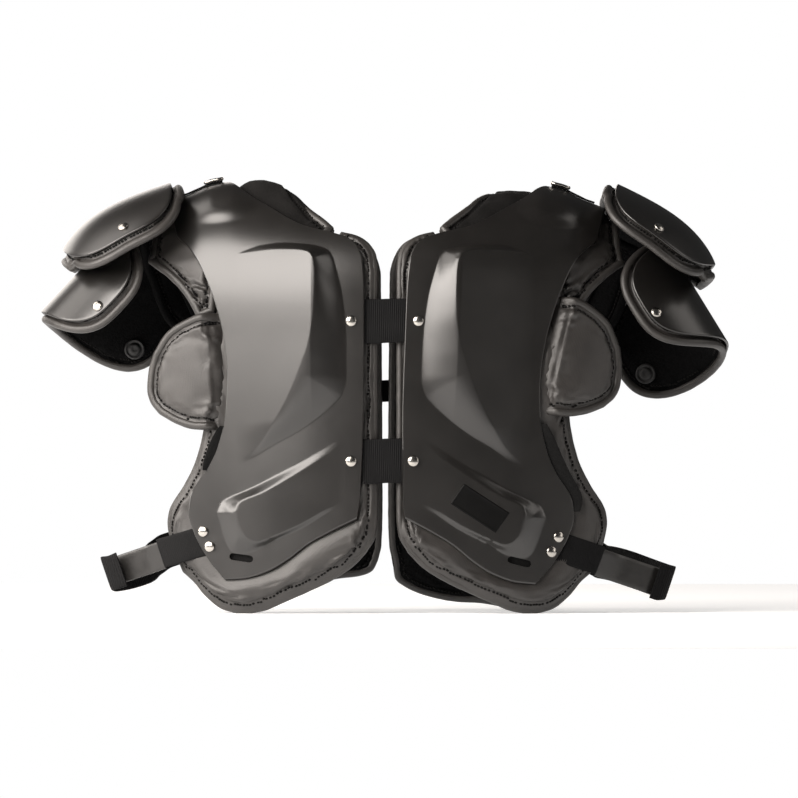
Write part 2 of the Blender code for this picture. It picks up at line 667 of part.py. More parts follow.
def side_strap(side):
    """Webbing from under the chest plate, its flat hook, and the elastic loop from the back."""
    edge = strap_under(side, SIDE_STRAP_RUN[-1], 0.0)
    reach = STRAP_REACH[side]

    def free(run, y, offset, shift=0.0, turn=1.0):
        fall = min(run, LOOP_OUTERMOST + reach) * math.tan(SIDE_STRAP_FALL)
        return Vector((edge.x + run + offset * math.sin(SIDE_STRAP_FALL),
                       y + turn * STRAP_TWIST * offset,
                       edge.z - fall + shift + offset * math.cos(SIDE_STRAP_FALL)))

    def straight(run, offset):
        return free(run, edge.y + run * SIDE_STRAP_SLOPE, offset)

    def front_edge(offset):
        return ([strap_under(side, s, offset) for s in SIDE_STRAP_RUN]
                + [straight(run * reach, offset) for run in SIDE_STRAP_FREE]
                + [straight(HOOK_FROM - GAP + reach, offset)])

    def hook_edge(offset):
        return [straight(HOOK_FROM + reach + share * HOOK_LONG, offset) for share in (0, 0.5, 1)]

    def loop_edge(offset):
        back = edge.y + reach * SIDE_STRAP_SLOPE
        shift = LOOP_SHIFT[side]
        return ([free(run + reach * share, y + share * (back - edge.y), offset, drop * shift, turn)
                 for run, y, share, drop, turn in LOOP_RUN]
                + [strap_under(side, s, offset, 1) for s in reversed(SIDE_STRAP_RUN)])

    return [
        band(f"{side}_side_strap", side, front_edge, SIDE_STRAP_WIDE, WEB_THICK, 12, WEBBING),
        band(f"{side}_side_hook", side, hook_edge, HOOK_WIDE, HOOK_THICK, 4, RUBBER),
        band(f"{side}_side_loop", side, loop_edge, LOOP_STRAP_WIDE, LOOP_THICK, 30, WEBBING),
    ]


def cross_strap(name, height, face, width):
    """Elastic between the two halves, under the inner edges of their plates."""
    def edge(offset):
        points = []
        for side, spots in (("left", (CROSS_END, CROSS_MID)), ("right", (CROSS_MID, CROSS_END))):
            points += [place(side, under_shell(side, s, height + offset, face)) for s in spots]
        return points

    return band(name, None, edge, width, WEB_THICK, 10, WEBBING)


def plate_rivets(side):
    """Rivets through the arch shell: cross straps in front, link behind, side straps on both."""
    spots = [("strap_rivet_upper", (CROSS_RIVET, FRONT_STRAP_HEIGHTS[0]), -1),
             ("strap_rivet_lower", (CROSS_RIVET, FRONT_STRAP_HEIGHTS[1]), -1),
             ("link_rivet", (CROSS_RIVET, REAR_LINK_HEIGHT), 1)]
    for face, end in ((-1, "front"), (1, "back")):
        spots += [(f"side_rivet_{end}_{row}", spot, face)
                  for row, spot in zip(("upper", "lower"), SIDE_RIVETS)]
    return [rivet(name, side, lambda h, s=s, z=z, face=face: leaning_skin(
        side, s, face * path_down_to(z), h)) for name, (s, z), face in spots]


def half(side):
    """Everything of one half, by the hinge that carries it."""
    fixed = [arch_shell(side), body_pad(side, -1), body_pad(side, 1), shoulder_pad(side),
             neck_pad(side), *epaulet_strap(side), *side_strap(side), *plate_rivets(side)]
    return {"fixed": fixed, "epaulet": epaulet(side), "cap": cap(side), "wing": [wing_pad(side)]}


def build():
    spine = hinge_empty("spine_hinge", SPINE + STAND)
    for side in SIDES:
        pieces = half(side)
        base = spine if side == "right" else None
        if base:
            hang(pieces["fixed"], base)
        lifted = place(side, rest_epaulet(side, Vector((EPAULET_HINGE[0], 0, EPAULET_HINGE[1]))))
        lowered = place(side, rest_cap(side, Vector((CAP_HINGE[0], 0, CAP_HINGE[1]))))
        seam = wing_hinge(side, 0.5)
        epaulet_hinge = hinge_empty(f"{side}_epaulet_hinge", lifted, base)
        hang(pieces["epaulet"], epaulet_hinge)
        hang(pieces["cap"], hinge_empty(f"{side}_cap_hinge", lowered, epaulet_hinge))
        hang(pieces["wing"], hinge_empty(f"{side}_wing_hinge", seam, base))
    for name, height in zip(("front_strap_upper", "front_strap_lower"), FRONT_STRAP_HEIGHTS):
        cross_strap(name, height, -1, FRONT_STRAP_WIDE)
    cross_strap("rear_link", REAR_LINK_HEIGHT, 1, REAR_STRAP_WIDE)


clear_scene()
PARTS = make_collection(COLLECTION)
CUTTERS = make_collection("cutters")
PLASTIC = make_material("satin_plastic", (0.045, 0.042, 0.040), 0.38)
FABRIC = make_material("satin_nylon", (0.075, 0.070, 0.066), 0.55)
COLLAR = make_material("brushed_fabric", (0.020, 0.019, 0.019), 0.9)
WEBBING = make_material("webbing", (0.012, 0.012, 0.013), 0.6)
RUBBER = make_material("moulded_black", (0.018, 0.018, 0.019), 0.45)
STEEL = make_material("nickel_steel", (0.72, 0.70, 0.67), 0.22, 1.0)
build()
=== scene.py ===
"""Looks of the shoulder pads: moulded shells, sewn pads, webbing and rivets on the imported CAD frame.

Metres, +Z up, chest side at -Y, "left" at -X. Outlines of one half are in millimetres as (s, z), with s
the distance from the centre plane. The surfaces are those of part.py, sampled more finely.
"""
import math

import bmesh
import bpy
import numpy as np
from mathutils import Matrix, Vector, noise
from mathutils.bvhtree import BVHTree
from mathutils.kdtree import KDTree


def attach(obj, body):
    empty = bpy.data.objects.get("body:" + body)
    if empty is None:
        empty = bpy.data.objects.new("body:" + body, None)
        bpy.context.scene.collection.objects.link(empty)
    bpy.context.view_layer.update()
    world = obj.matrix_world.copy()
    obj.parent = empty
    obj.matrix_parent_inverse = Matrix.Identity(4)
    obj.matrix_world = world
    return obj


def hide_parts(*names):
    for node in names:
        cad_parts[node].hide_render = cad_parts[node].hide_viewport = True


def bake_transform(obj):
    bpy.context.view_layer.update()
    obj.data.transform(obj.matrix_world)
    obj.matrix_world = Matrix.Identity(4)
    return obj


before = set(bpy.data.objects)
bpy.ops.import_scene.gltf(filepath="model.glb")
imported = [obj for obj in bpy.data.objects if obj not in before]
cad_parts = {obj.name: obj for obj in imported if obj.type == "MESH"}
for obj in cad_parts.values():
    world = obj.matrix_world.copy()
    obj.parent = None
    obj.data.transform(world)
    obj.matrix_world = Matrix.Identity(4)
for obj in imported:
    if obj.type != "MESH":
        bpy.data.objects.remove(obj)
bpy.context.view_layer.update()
MM = 0.001
SIDES = {"left": -1, "right": 1}

# ---- the arch and the places of everything on it, as in the CAD part ----
ARCH_HALF_DEPTH = 0.112
ARCH_SPRING_HEIGHT = 0.250
ARCH_RISE = 0.118
ARCH_POWER = 2.3
LEG_LEAN = 0.06
LEG_LONG = 0.300
WRAP_LOSS = 0.32
WRAP_REACH = 0.170
WRAP_POWER = 2.2
SHOULDER_DROP = 0.014
SHOULDER_START = 0.130
SHOULDER_END = 0.188
SHOULDER_POWER = 1.5
SHOULDER_HEIGHT = 0.330
TOP_FROM = (0.29, 0.35)              # the heights over which the shoulder's fall sets in
PATH_SAMPLES = 1600
PATH_STEP = 0.0005
SPRING_BLEND = 0.035                 # eases the bend where the straight legs meet the arch
SKIN_STEP = 0.002                    # steps for normals, on the arch and on the bowed plates
PLATE_STEP = 0.001

SHELL_THICK = 0.0025
PAD_THICK = 0.013
PAD_LIFT = -0.005
WING_LIFT = 0.008
WING_THICK = 0.011
PLATE_PAD_THICK = 0.009
WEB_THICK = 0.0012
GAP = 0.0006
FRONT_STRAP_WIDE = 0.0381
SIDE_STRAP_WIDE = 0.0254
LOOP_STRAP_WIDE = 0.030
REAR_STRAP_WIDE = 0.019
RIVET_RADIUS = 0.0048
RIVET_HIGH = 0.0024
SNAP_RADIUS = 0.009

STAND = np.array((0.00100, 0.0, 0.00055))
LEAN_SIDE = "right"
LEAN_ANGLE = math.radians(2.2)
LEAN_FROM = 0.060
LEAN_OUT = 0.003
LEAN_DOWN = 0.001
PAD_SHIFT = 0.004

SHELL_INNER = [(24, 82), (21.9, 96), (20, 130), (18.1, 188), (18.1, 270), (19.8, 303), (25, 316),
               (34.4, 322.5), (73, 333.7), (99, 348.3), (124.7, 362.9)]
SHELL_INNER_CROWN = 136
SHELL_OUTER = [(138, 29.5), (151.7, 46.5), (164.8, 71.4), (168.6, 86.5), (167.1, 99), (150.5, 126.4),
               (143.3, 142), (136.4, 172.5), (135, 203), (138, 234), (146.2, 267), (157.4, 296),
               (168, 316.5), (179, 334.5)]
SHELL_OUTER_CROWN = 187
SHELL_FOOT = [(24, 82), (45.8, 71.4), (65.7, 60.4), (84.3, 46.4), (102.6, 36.1), (122.6, 30.4),
              (138, 29.5)]

PAD_INNER_TOP = [(8, 310.5), (14.6, 322.5), (25.5, 329.7), (38, 333)]
PAD_FOOT_OUTER = [(125.6, 0), (142.5, 3.5), (157.9, 14.3), (168.6, 26.7), (178.2, 34.9)]
PAD_INNER = [(16.6, 52.7), (8.2, 68), (6.2, 88), (6.2, 295)] + PAD_INNER_TOP
PAD_FOOT = [(16.6, 52.7), (28.9, 40.4), (45.8, 29.7), (68.8, 18.9), (90.3, 9.7),
            (107.2, 2.8)] + PAD_FOOT_OUTER
PAD_OUTER = [(178.2, 34.9), (189.6, 63), (191.9, 77), (190.5, 86.7), (176.3, 111), (167.1, 129.5),
             (160.1, 155.7), (155, 200), (150, 250), (145, 270), (141, 330)]
PAD_HEAD = [(38, 333), (52, 311), (82, 313), (110, 322), (143, 330)]
BACK_PAD_FOOT = {"left": [(7, 43), (12, 34), (22.7, 29.7), (45.8, 26.7), (68.8, 18.9),
                          (90.3, 9.7), (107.2, 2.8)] + PAD_FOOT_OUTER,
                 "right": [(7, 43), (9, 28), (20, 19), (42, 11), (64.5, 7), (85, 6),
                           (105, 3)] + PAD_FOOT_OUTER}
BACK_PAD_INNER = [(7, 43), (4, 56), (3, 88), (4.5, 295)] + PAD_INNER_TOP
PAD_PROUD = 0.0050                   # how much a body pad stands up once it is past the shell's edge
PAD_PROUD_OVER = (0.0, 0.010)

SHOULDER_INNER = [(150, 258), (148, 280), (149, 330), (151, 345)]
SHOULDER_OUTER = [(164, 252), (169.5, 263), (178.5, 276.6), (190.5, 289), (202, 299.5), (208, 311),
                  (206, 327)]
SHOULDER_CROWNS = (152, 200)
GATHER_AT = (0.161, 0.277)           # creases at the armhole: s, height
GATHER_TOWARDS = (0.167, 0.260)
GATHER_WAVE = (0.015, 0.0080, 0.0028)  # reach, pitch, depth
NECK_INNER = [(45, 336), (51, 342), (62, 351), (72, 360)]
NECK_OUTER = [(56, 319), (80, 325), (107, 341), (130, 354)]
NECK_CROWNS = (84, 150)
NECK_ROLL = {"left": 0.010, "right": 0.003}
NECK_ROLL_FROM = (0.342, 0.366)      # the heights over which it grows
NECK_ROLL_PAST = (0.002, 0.020)      # and the distances in from the shell's edge

WING_SEAM = [(137, 157), (133, 190), (134.5, 225), (141, 256.5)]
WING_SEAM_IN = 0.13                  # the sewn line across the wing: share of its width, ends, depth
WING_SEAM_ENDS = (0.06, 0.94)
WING_SEAM_DEEP = 0.0018
WING_DIVE = 0.0125                   # how far the wing's root drops, to come out from under the shell
WING_DIVE_OVER = (-0.001, 0.014)     # and over what distance past the shell's edge
WING_TURNS = (0.006, 0.005)          # the ends of its hinge line: this far inside its hinge point and this far outside
WING_HINGE_S = 0.145
WING_FOOT = [(137, 157), (160.8, 157.4), (176.3, 161.7), (191.8, 170.3)]
WING_TIP = [(191.8, 170.3), (199.5, 180.6), (202.1, 191.8), (201.2, 205.5), (196.9, 222.7)]
WING_HEAD = [(141, 256.5), (154.8, 256.3), (171.1, 250.3), (185.8, 240), (196.9, 222.7)]

EPAULET_HINGE = np.array((0.184, 0, 0.366))
EPAULET_ROOT = (0.184, 0.371)
EPAULET_FALL = math.radians(33)
EPAULET_MID = 0.057
EPAULET_LONG = 0.054
EPAULET_WIDE = 0.088
EPAULET_BOW = 0.030
EPAULET_CROWN = 0.0125
EPAULET_CROWN_POWERS = (1.35, 0.7)
PLATE_POWER = 3.0
CAP_HINGE = np.array((0.226, 0, 0.330))
CAP_ROOT = (0.228, 0.333)
CAP_FALL = math.radians(46.7)
CAP_RADIUS = 0.080
CAP_MID = 0.052
CAP_LONG = 0.049
CAP_WIDE = 0.108
CAP_ROLL = math.radians(20)
PLATE_GROWS = {"epaulet": ((0.0, 0.0), (0.007, 0.009)), "cap": ((0.0, 0.003), (0.006, 0.013))}
EPAULET_RIVET = (0.056, 0.078)
CAP_RIVET = (0.0637, 0.105)
CAP_SNAP = (0.0707, 0.098)
SNAP_HIGH = 0.003
SNAP_CLEAR = 0.0012
# its section, as shares of the radius and the height
SNAP_SECTION = [(1, 0.25), (0.95, 0.55), (0.80, 0.62), (0.74, 0.35), (0.60, 0.32), (0.55, 0.75),
                (0.45, 0.95), (0.25, 0.90), (0.12, 0.80)]
SNAP_FOOT = 0.96
CAP_STRAP_AT = 0.014
CAP_STRAP_LONG = 0.018

STRAP_LIFT = -0.0037
SOFT_TRIM_THICK = 0.009
FRONT_STRAP_HEIGHTS = (0.250, 0.130)
REAR_LINK_HEIGHT = 0.190
CROSS_END = 0.036
CROSS_MID = 0.012
CROSS_RIVET = 0.029
SIDE_RIVETS = [(0.1557, 0.0697), (0.1501, 0.0568)]
SIDE_STRAP_START = (0.1529, 0.0632)
SIDE_STRAP_FALL = math.radians(19)
SIDE_STRAP_SLOPE = 0.48
SIDE_STRAP_RUN = (0.142, 0.155, 0.168, 0.180, 0.191)
SIDE_RIBS = (0.0016, 0.00012)        # pitch and depth of the ribs of each webbing
LOOP_RIBS = (0.0022, 0.00022)
CROSS_RIBS = (0.0018, 0.00022)
NO_RIBS = (0.0, 0.0)
SHORT_STRAP_RIBS = {"epaulet": 26, "cap": 11}
SHORT_RIB_DEEP = 0.0001
STRAP_RISE = 0.0062                  # it climbs over the stuffed rim of the pad
STRAP_RISES_OVER = (0.158, 0.176)
HOOK_START = 0.002
HOOK_FROM = 0.0165
HOOK_LONG = 0.0235
HOOK_WIDE = 0.024
HOOK_THICK = 0.002
LOOP_THICK = 0.0018
LOOP_OUTERMOST = 0.0434
STRAP_REACH = {"left": 0.001, "right": 0.0145}
LOOP_SHIFT = {"left": -0.005, "right": 0.003}
STRAP_TWIST = 0.2
# past the pad's edge, depth, share of the reach, share of the shift, share of the twist
LOOP_RUN = [(0.0364, -0.0625, 1, 0.0, 1), (0.0434, -0.0600, 1, 0.1, 1), (0.0494, -0.0510, 1, 0.3, 1),
            (0.0459, -0.0410, 1, 0.6, 1), (0.0329, -0.0340, 1, 0.9, 0.7),
            (0.0169, -0.0120, 0.8, 1.0, 0), (0.0139, 0.0200, 0.4, 0.8, 0),
            (0.0119, 0.0500, 0, 0.4, -0.6), (0.0079, 0.0650, 0, 0.1, -1)]

EPAULET_STRAP_FROM = 0.140
EPAULET_STRAP_TO = 0.1775
RING_AT = 0.147
RING_SIZE = (0.014, 0.033)
RING_CORNER = 0.003
RING_WIRE = 0.0028
SLOT_S = 0.123
SLOT_Z = 0.0473
SLOT_LONG = 0.0206
SLOT_HIGH = 0.006
SLOT_TILT = {"left": math.radians(8), "right": math.radians(14)}
WING_CENTRE = np.array((0.170, 0, 0.205))

EPAULET_REST = {"left": (0.0, 0.0, 0.0, 0.0),
                "right": (0.0145, -0.0013, math.radians(7.5), math.radians(4.0))}
CAP_REST = {"left": (0.0, 0.0, 0.0, 0.0, 0.0),
            "right": (0.006, -0.007, math.radians(4.0), math.radians(-14.0), math.radians(3.0))}
CAP_CENTRE = np.array((0.240, 0, 0.275))
WING_REST = {"left": (0.0, 0.0, 0.0), "right": (0.002, 0.0145, math.radians(7.0))}

# ---- raised shapes moulded into each chest plate, millimetres ----
SHIELD_FOOT = [(124, 309), (105, 315), (87, 317), (69, 316), (57, 314), (49, 311), (45, 304), (41, 290.5),
               (36.5, 270.5), (33.5, 240), (33, 218), (33, 202.5), (37, 187), (45, 178), (58, 167),
               (77.5, 153.5), (95, 144), (110, 134), (128, 126), (136, 150), (133, 200), (134, 260),
               (138, 300), (124, 309)]
SHIELD_TOP = [(126, 308), (99, 310), (75, 308), (64, 305), (59.5, 299), (58.5, 288.5), (59.5, 258),
              (65, 228), (70, 213.5), (82, 184.5), (95.5, 161), (108.5, 143), (122, 134), (130, 150),
              (129, 200), (130, 260), (133, 300), (126, 308)]
SHIELD_HIGH = 0.0140
SHIELD_SLOPE = (128, 62)             # zero at the first s, full height at the second
SHIELD_FADE = (118, 165)             # the same up the plate
SLOPE_POWER = 1.5
CLIMB_STRAIGHT = 0.6                 # share of a flank that climbs evenly; the rest eases in and out
BLOCK_FOOT = [(144.5, 86), (140, 95), (136, 97.5), (116, 106), (93, 118), (70, 130), (54.5, 139.5),
              (30, 154), (22, 120), (30, 96), (50, 85), (70, 73.5), (93, 63), (116, 52), (126.5, 50.5),
              (132.5, 53.5), (144.5, 86)]
BLOCK_TOP = [(124, 87), (122, 94), (103.5, 103), (79.5, 117), (52, 134), (32, 147), (25, 120), (32, 99),
             (54, 87), (72, 76), (93, 66), (108.5, 60.5), (114.5, 63), (119.5, 70), (124, 87)]
BLOCK_HIGH = 0.0088
BLOCK_SLOPE = (36, 124)
RIDGE_SPAN = (124, 156)              # s of the low ridge that runs over the crown
RIDGE_END = 334                      # the height where it ends on the chest and on the back
RIDGE_HIGH = 0.0034
RIDGE_ROUND = 16
RIDGE_EDGE = (0.2, 1.0)
OUTLINE_SAMPLES = 120

# ---- soft pieces that the CAD leaves out ----
ARM_PANEL_FOOT = [(152, 238), (186, 238)]
ARM_PANEL_HEAD = [(152, 362), (221, 360)]
ARM_PANEL_INNER = [(152, 238), (151, 280), (152, 362)]
ARM_PANEL_OUTER = [(186, 238), (201, 256), (210, 280), (217, 304), (221, 360)]
ARM_PANEL_OUT = {"left": 0, "right": 9}
ARM_PANEL_THICK = 0.004
ARM_BANDS = [(0.199, 0.171), (0.190, 0.160)]
ARM_BAND_HEIGHTS = (0.312, 0.252)
ARM_BAND_WIDE = 0.009
ARM_BAND_BEHIND = 0.003
VELOUR_HEIGHTS = {"left": (122, 160), "right": (92, 166)}
VELOUR_WIDE = {"left": 0.009, "right": 0.013}
VELOUR_LIFTS = (-0.0012, 0.0034)     # at the shell's edge and at the outer edge
VELOUR_UNDER = 0.002                 # how far it reaches in under the shell
VELOUR_THICK = 0.004
VELOUR_PILE = (0.0003, 900.0)        # depth and noise scale

LABEL_AT = (0.0865, 0.0917)          # middle of the plain patch on the right lower block
LABEL_SIZE = (0.045, 0.0205)
LABEL_TILT = math.radians(-32)
LABEL_THICK = 0.0003
LABEL_SUNK = 0.0002
LABEL_BORDER = (0.00025, 0.0009, 0.0005)  # height, distance in from the edge, width

# ---- sewing ----
BINDING_WIDE = 0.0072
BINDING_HIGH = 0.0068
SEAM_IN = 0.0080                     # from the pad's edge to the stitched line
STITCH_PITCH = 0.0034
STITCH_LONG = 0.0027
STITCH_WIDE = 0.0018
STITCH_FROM = 0.004                  # a stitch is looked for from this far off the pad's middle
STITCH_REACH = 0.012
THREAD_OUT = 0.0001
STITCH_SIDES = 6
PUCKER_PITCH = 0.0062
PUCKER_IN = 0.0040                   # from the stitched line to the middle of the puckers
PUCKER_WIDE = 0.0055
PUCKER_WANDER = 2.6
GROOVE_DEEP = 0.0026
GROOVE_WIDE = 0.0019
CROSS_SEAM_WIDE = 0.0016
CROSS_PUCKER = (0.0045, 0.0025, 0.008)  # distance from the seam, width, pitch
ROUGH = (45.0, 0.0)                  # noise: scale, seed
UNEVEN = (28.0, 7.0)
BILLOWS = (24.0, 3.0)
WRINKLES = (95.0, 5.0)
BILLOW_DEEP = 0.0007
BILLOW_FROM = (0.008, 0.03)          # they set in this far from the edge
WRINKLE_DEEP = 0.00025
BINDING_IN = 0.0006
BINDING_RIPPLE = (0.05, 160.0)       # share of its width, noise scale
HELD_RIM = 0.0075                    # width of the rim that the simulation holds
CROWN_FROM = 0.004                   # a pad is at its rim's thickness up to here, and then rounds off
CROWN_OVER = 0.013
OUTLINE_SPACING = 0.0016
GRID_FINE = 0.003                    # spacing of a pad's grid near its edges
GRID_COARSE = 0.008                  # and in its middle
GRID_MARGIN = 0.024
CLOTH = dict(quality=4, mass=0.15, tension_stiffness=12, compression_stiffness=12, shear_stiffness=4,
             bending_stiffness=0.3, use_pressure=True, uniform_pressure_force=4,
             vertex_group_mass="sewn", shrink_min=-0.03)
CLOTH_FRAMES = 20

# ---- sampling ----
SHEET_SLOTS = (0, 1, 0)              # materials of a sheet's outer face, inner face and edge
EDGE_STEPS = 5
SWEEP_AROUND = 12
LATHE_AROUND = 28
RIBBON_STEP = 0.0005
RIBBON_COLUMNS = 14
RIBBON_SELVEDGE = 0.35               # thickness at a ribbon's edges, as a share

# ---- studio ----
FRAME_WIDE = 0.686                   # metres across the picture at the object
FRAME_AT = -0.06                     # the depth where that holds
CAMERA_AWAY = 10.0
CAMERA_AT = (0.013, 0.1838)
SENSOR_WIDE = 36.0
WARM = (1.0, 0.94, 0.885)
WHITE = (1.0, 1.0, 1.0, 1.0)
WORLD_STRENGTH = (0.05, 1.0)         # for what lights the pads, and for what the camera sees
# name, place, height it points at on the middle line, size, watts
LIGHTS = [("key_left", (-0.74, -0.82, 0.74), 0.2, (0.96, 0.84), 29),
          ("side_left", (-2.25, -0.35, 0.9), 0.2, (1.1, 1.2), 50),
          ("above_left", (-1.5, 0.4, 1.6), 0.3, (1.2, 1.2), 13),
          ("above_right", (1.9, 0.1, 1.4), 0.3, (1.2, 1.2), 6.5),
          ("fill_right", (2.3, -0.9, 0.7), 0.2, (0.8, 0.8), 5),
          ("back", (-0.9, 3.0, 0.8), 0.2, (2.2, 1.3), 26)]
FLOOR_REACH = 1.5
FLOOR_GLOW = 0.42


# ---------------------------------------------------------------- surfaces, on arrays

def hump(x, wide):
    return np.exp(-((x / wide) ** 2))


def arch_table():
    """The arch from its top down: distance along it, depth and height, evenly spaced."""
    turn = np.linspace(math.pi / 2, 0.0, PATH_SAMPLES)
    depth = ARCH_HALF_DEPTH * np.cos(turn).clip(0) ** (2 / ARCH_POWER)
    height = ARCH_SPRING_HEIGHT + ARCH_RISE * np.sin(turn) ** (2 / ARCH_POWER)
    depth = np.append(depth, depth[-1] + LEG_LEAN * LEG_LONG)
    height = np.append(height, height[-1] - LEG_LONG)
    steps = np.hypot(np.diff(depth), np.diff(height))
    path = np.append(0.0, np.cumsum(steps))
    even = np.arange(0.0, path[-1], PATH_STEP)
    depth, height = np.interp(even, path, depth), np.interp(even, path, height)
    window = np.hanning(round(2 * SPRING_BLEND / PATH_STEP))
    near = hump(height - ARCH_SPRING_HEIGHT, SPRING_BLEND)
    eased = np.convolve(np.pad(depth, len(window), mode="reflect", reflect_type="odd"),
                        window / window.sum(), mode="same")[len(window):-len(window)]
    return even, depth + near * (eased - depth), height


PATH, PATH_DEPTH, PATH_HEIGHT = arch_table()


def smooth(x, low=0.0, high=1.0):
    share = np.clip((np.asarray(x, dtype=float) - low) / (high - low), 0.0, 1.0)
    return share**2 * (3 - 2 * share)


def unit(vectors):
    return vectors / np.linalg.norm(vectors, axis=-1, keepdims=True)


def path_down_to(height):
    return np.interp(-np.asarray(height, dtype=float), -PATH_HEIGHT, PATH)


PATH_SHOULDER = float(path_down_to(SHOULDER_HEIGHT))


def arch_point(side, s, p):
    """Outer surface of the arch; p runs along it, negative on the chest side."""
    depth = np.interp(np.abs(p), PATH, PATH_DEPTH)
    height = np.interp(np.abs(p), PATH, PATH_HEIGHT)
    top = smooth(height, *TOP_FROM)
    reach = np.maximum(0.0, (np.abs(s) - SHOULDER_START) / (SHOULDER_END - SHOULDER_START))
    fall = SHOULDER_DROP * reach**SHOULDER_POWER * top
    if side == LEAN_SIDE:
        fall = fall + top * np.maximum(0.0, s - LEAN_FROM) * math.sin(LEAN_ANGLE)
    wrap = 1.0 - WRAP_LOSS * (np.abs(s) / WRAP_REACH) ** WRAP_POWER
    return np.stack([s + 0.0 * depth, np.sign(p) * depth * wrap, height - fall], axis=-1)


def arch_normal(side, s, p):
    across = arch_point(side, s + SKIN_STEP, p) - arch_point(side, s - SKIN_STEP, p)
    along = arch_point(side, s, p + SKIN_STEP) - arch_point(side, s, p - SKIN_STEP)
    return unit(np.cross(across, along))


def lean(side, s, p):
    """Moves points of the half that hangs a little turned."""
    if side != LEAN_SIDE:
        return s, p
    down = np.maximum(0.0, np.abs(p) - PATH_SHOULDER)
    share = np.minimum(1.0, down / PATH_SHOULDER)
    moved = np.abs(p) + share * (LEAN_DOWN + (s - LEAN_FROM) * math.sin(LEAN_ANGLE))
    return s + LEAN_OUT - down * math.sin(LEAN_ANGLE), np.copysign(moved, p)


def place(side, points):
    """Points of a half, given with +X outwards, on their side of the centre plane."""
    return points * np.array((SIDES[side], 1, 1)) + STAND


def on_skin(side, s, p, lift, shift=0.0, leaning=True):
    """World points at (s, p) of the arch, lifted off it."""
    s, p = (np.asarray(value, dtype=float) for value in (s, p))
    if leaning:
        s, p = lean(side, s, p)
    s = s + shift
    height = np.asarray(lift, dtype=float)[..., None]
    return place(side, arch_point(side, s, p) + height * arch_normal(side, s, p))


def smooth_curve(points):
    """Curve through points that never overshoots them, as a function of 0 to 1 by chord length."""
    knots = np.array(points, dtype=float)
    spans = np.linalg.norm(np.diff(knots, axis=0), axis=1)
    places = np.append(0.0, np.cumsum(spans))
    slopes = np.diff(knots, axis=0) / spans[:, None]
    before, after = slopes[:-1], slopes[1:]
    total = np.where(before * after > 0, before + after, 1.0)
    middle = np.where(before * after > 0, 2 * before * after / total, 0.0)
    tangents = np.vstack([slopes[:1], middle, slopes[-1:]])

    def curve(t):
        at = np.clip(t, 0.0, 1.0) * places[-1]
        i = np.clip(np.searchsorted(places, at, side="right") - 1, 0, len(spans) - 1)
        x, span = ((at - places[i]) / spans[i])[..., None], spans[i][..., None]
        return ((2 * x**3 - 3 * x**2 + 1) * knots[i] + (x**3 - 2 * x**2 + x) * span * tangents[i]
                + (3 * x**2 - 2 * x**3) * knots[i + 1] + (x**3 - x**2) * span * tangents[i + 1])

    return curve


def flat_curve(points, face):
    return smooth_curve([(s * MM, face * float(path_down_to(z * MM))) for s, z in points])


def arch_curve(points, crown):
    chest = [(s * MM, -float(path_down_to(z * MM))) for s, z in points]
    return smooth_curve(chest + [(crown * MM, 0.0)] + [(s, -p) for s, p in reversed(chest)])


def patch(foot, head, inner, outer):
    """Surface between four curves: u from inner to outer, v from foot to head."""
    ends = np.array((0.0, 1.0))
    (near_foot, far_foot), (near_head, far_head) = foot(ends), head(ends)

    def at(u, v):
        x, y = u[..., None], v[..., None]
        blend = (1 - y) * foot(u) + y * head(u) + (1 - x) * inner(v) + x * outer(v)
        return blend - ((1 - x) * (1 - y) * near_foot + x * (1 - y) * far_foot
                        + (1 - x) * y * near_head + x * y * far_head)

    return at


def towards_middle(u, v, share):
    return 0.5 + (u - 0.5) * share, 0.5 + (v - 0.5) * share


def rounded(u, v):
    """The unit square as a plate with round corners, each coordinate from -1 to 1."""
    x, y = 2 * u - 1, 2 * v - 1
    size = (np.abs(x) ** PLATE_POWER + np.abs(y) ** PLATE_POWER) ** (1 / PLATE_POWER)
    scale = np.maximum(np.abs(x), np.abs(y)) / np.maximum(size, 1e-9)
    return x * scale, y * scale


def turned(points, pivot, turn):
    return (points - pivot) @ np.array(turn).T + pivot


def rest_epaulet(side, points):
    out, up, fall, pitch = EPAULET_REST[side]
    points = turned(points, EPAULET_HINGE, Matrix.Rotation(-pitch, 3, "X"))
    return turned(points, EPAULET_HINGE, Matrix.Rotation(fall, 3, "Y")) + np.array((out, 0, up))


def rest_cap(side, points):
    out, up, fall, yaw, pitch = CAP_REST[side]
    swung = turned(points, CAP_CENTRE, Matrix.Rotation(yaw, 3, "Z") @ Matrix.Rotation(-pitch, 3, "X"))
    fallen = turned(swung, CAP_HINGE, Matrix.Rotation(fall, 3, "Y")) + np.array((out, 0, up))
    return rest_epaulet(side, fallen)


def ridge_point(root, fall, along, across, height):
    return np.stack([root[0] + along * math.cos(fall) + height * math.sin(fall), across + 0 * along,
                     root[1] - along * math.sin(fall) + height * math.cos(fall)], axis=-1)


def epaulet_surface(along, across):
    share = np.clip(along / (2 * EPAULET_MID), 0.0, 1.0)
    bulge, flatness = EPAULET_CROWN_POWERS
    crown = EPAULET_CROWN * np.sin(np.pi * share**bulge) ** flatness
    return ridge_point(EPAULET_ROOT, EPAULET_FALL, along, across,
                       crown - EPAULET_BOW * (across / EPAULET_WIDE) ** 2)


def cap_surface(along, girth):
    angle = girth / CAP_RADIUS + CAP_ROLL
    return ridge_point(CAP_ROOT, CAP_FALL, along, CAP_RADIUS * np.sin(angle),
                       CAP_RADIUS * (np.cos(angle) - 1))


def over(surface, along, across, lift):
    """Points at a lift over a bowed plate."""
    along, across = np.asarray(along, dtype=float), np.asarray(across, dtype=float)
    lengthways = surface(along + PLATE_STEP, across) - surface(along - PLATE_STEP, across)
    sideways = surface(along, across + PLATE_STEP) - surface(along, across - PLATE_STEP)
    return surface(along, across) + np.asarray(lift)[..., None] * unit(np.cross(lengthways, sideways))


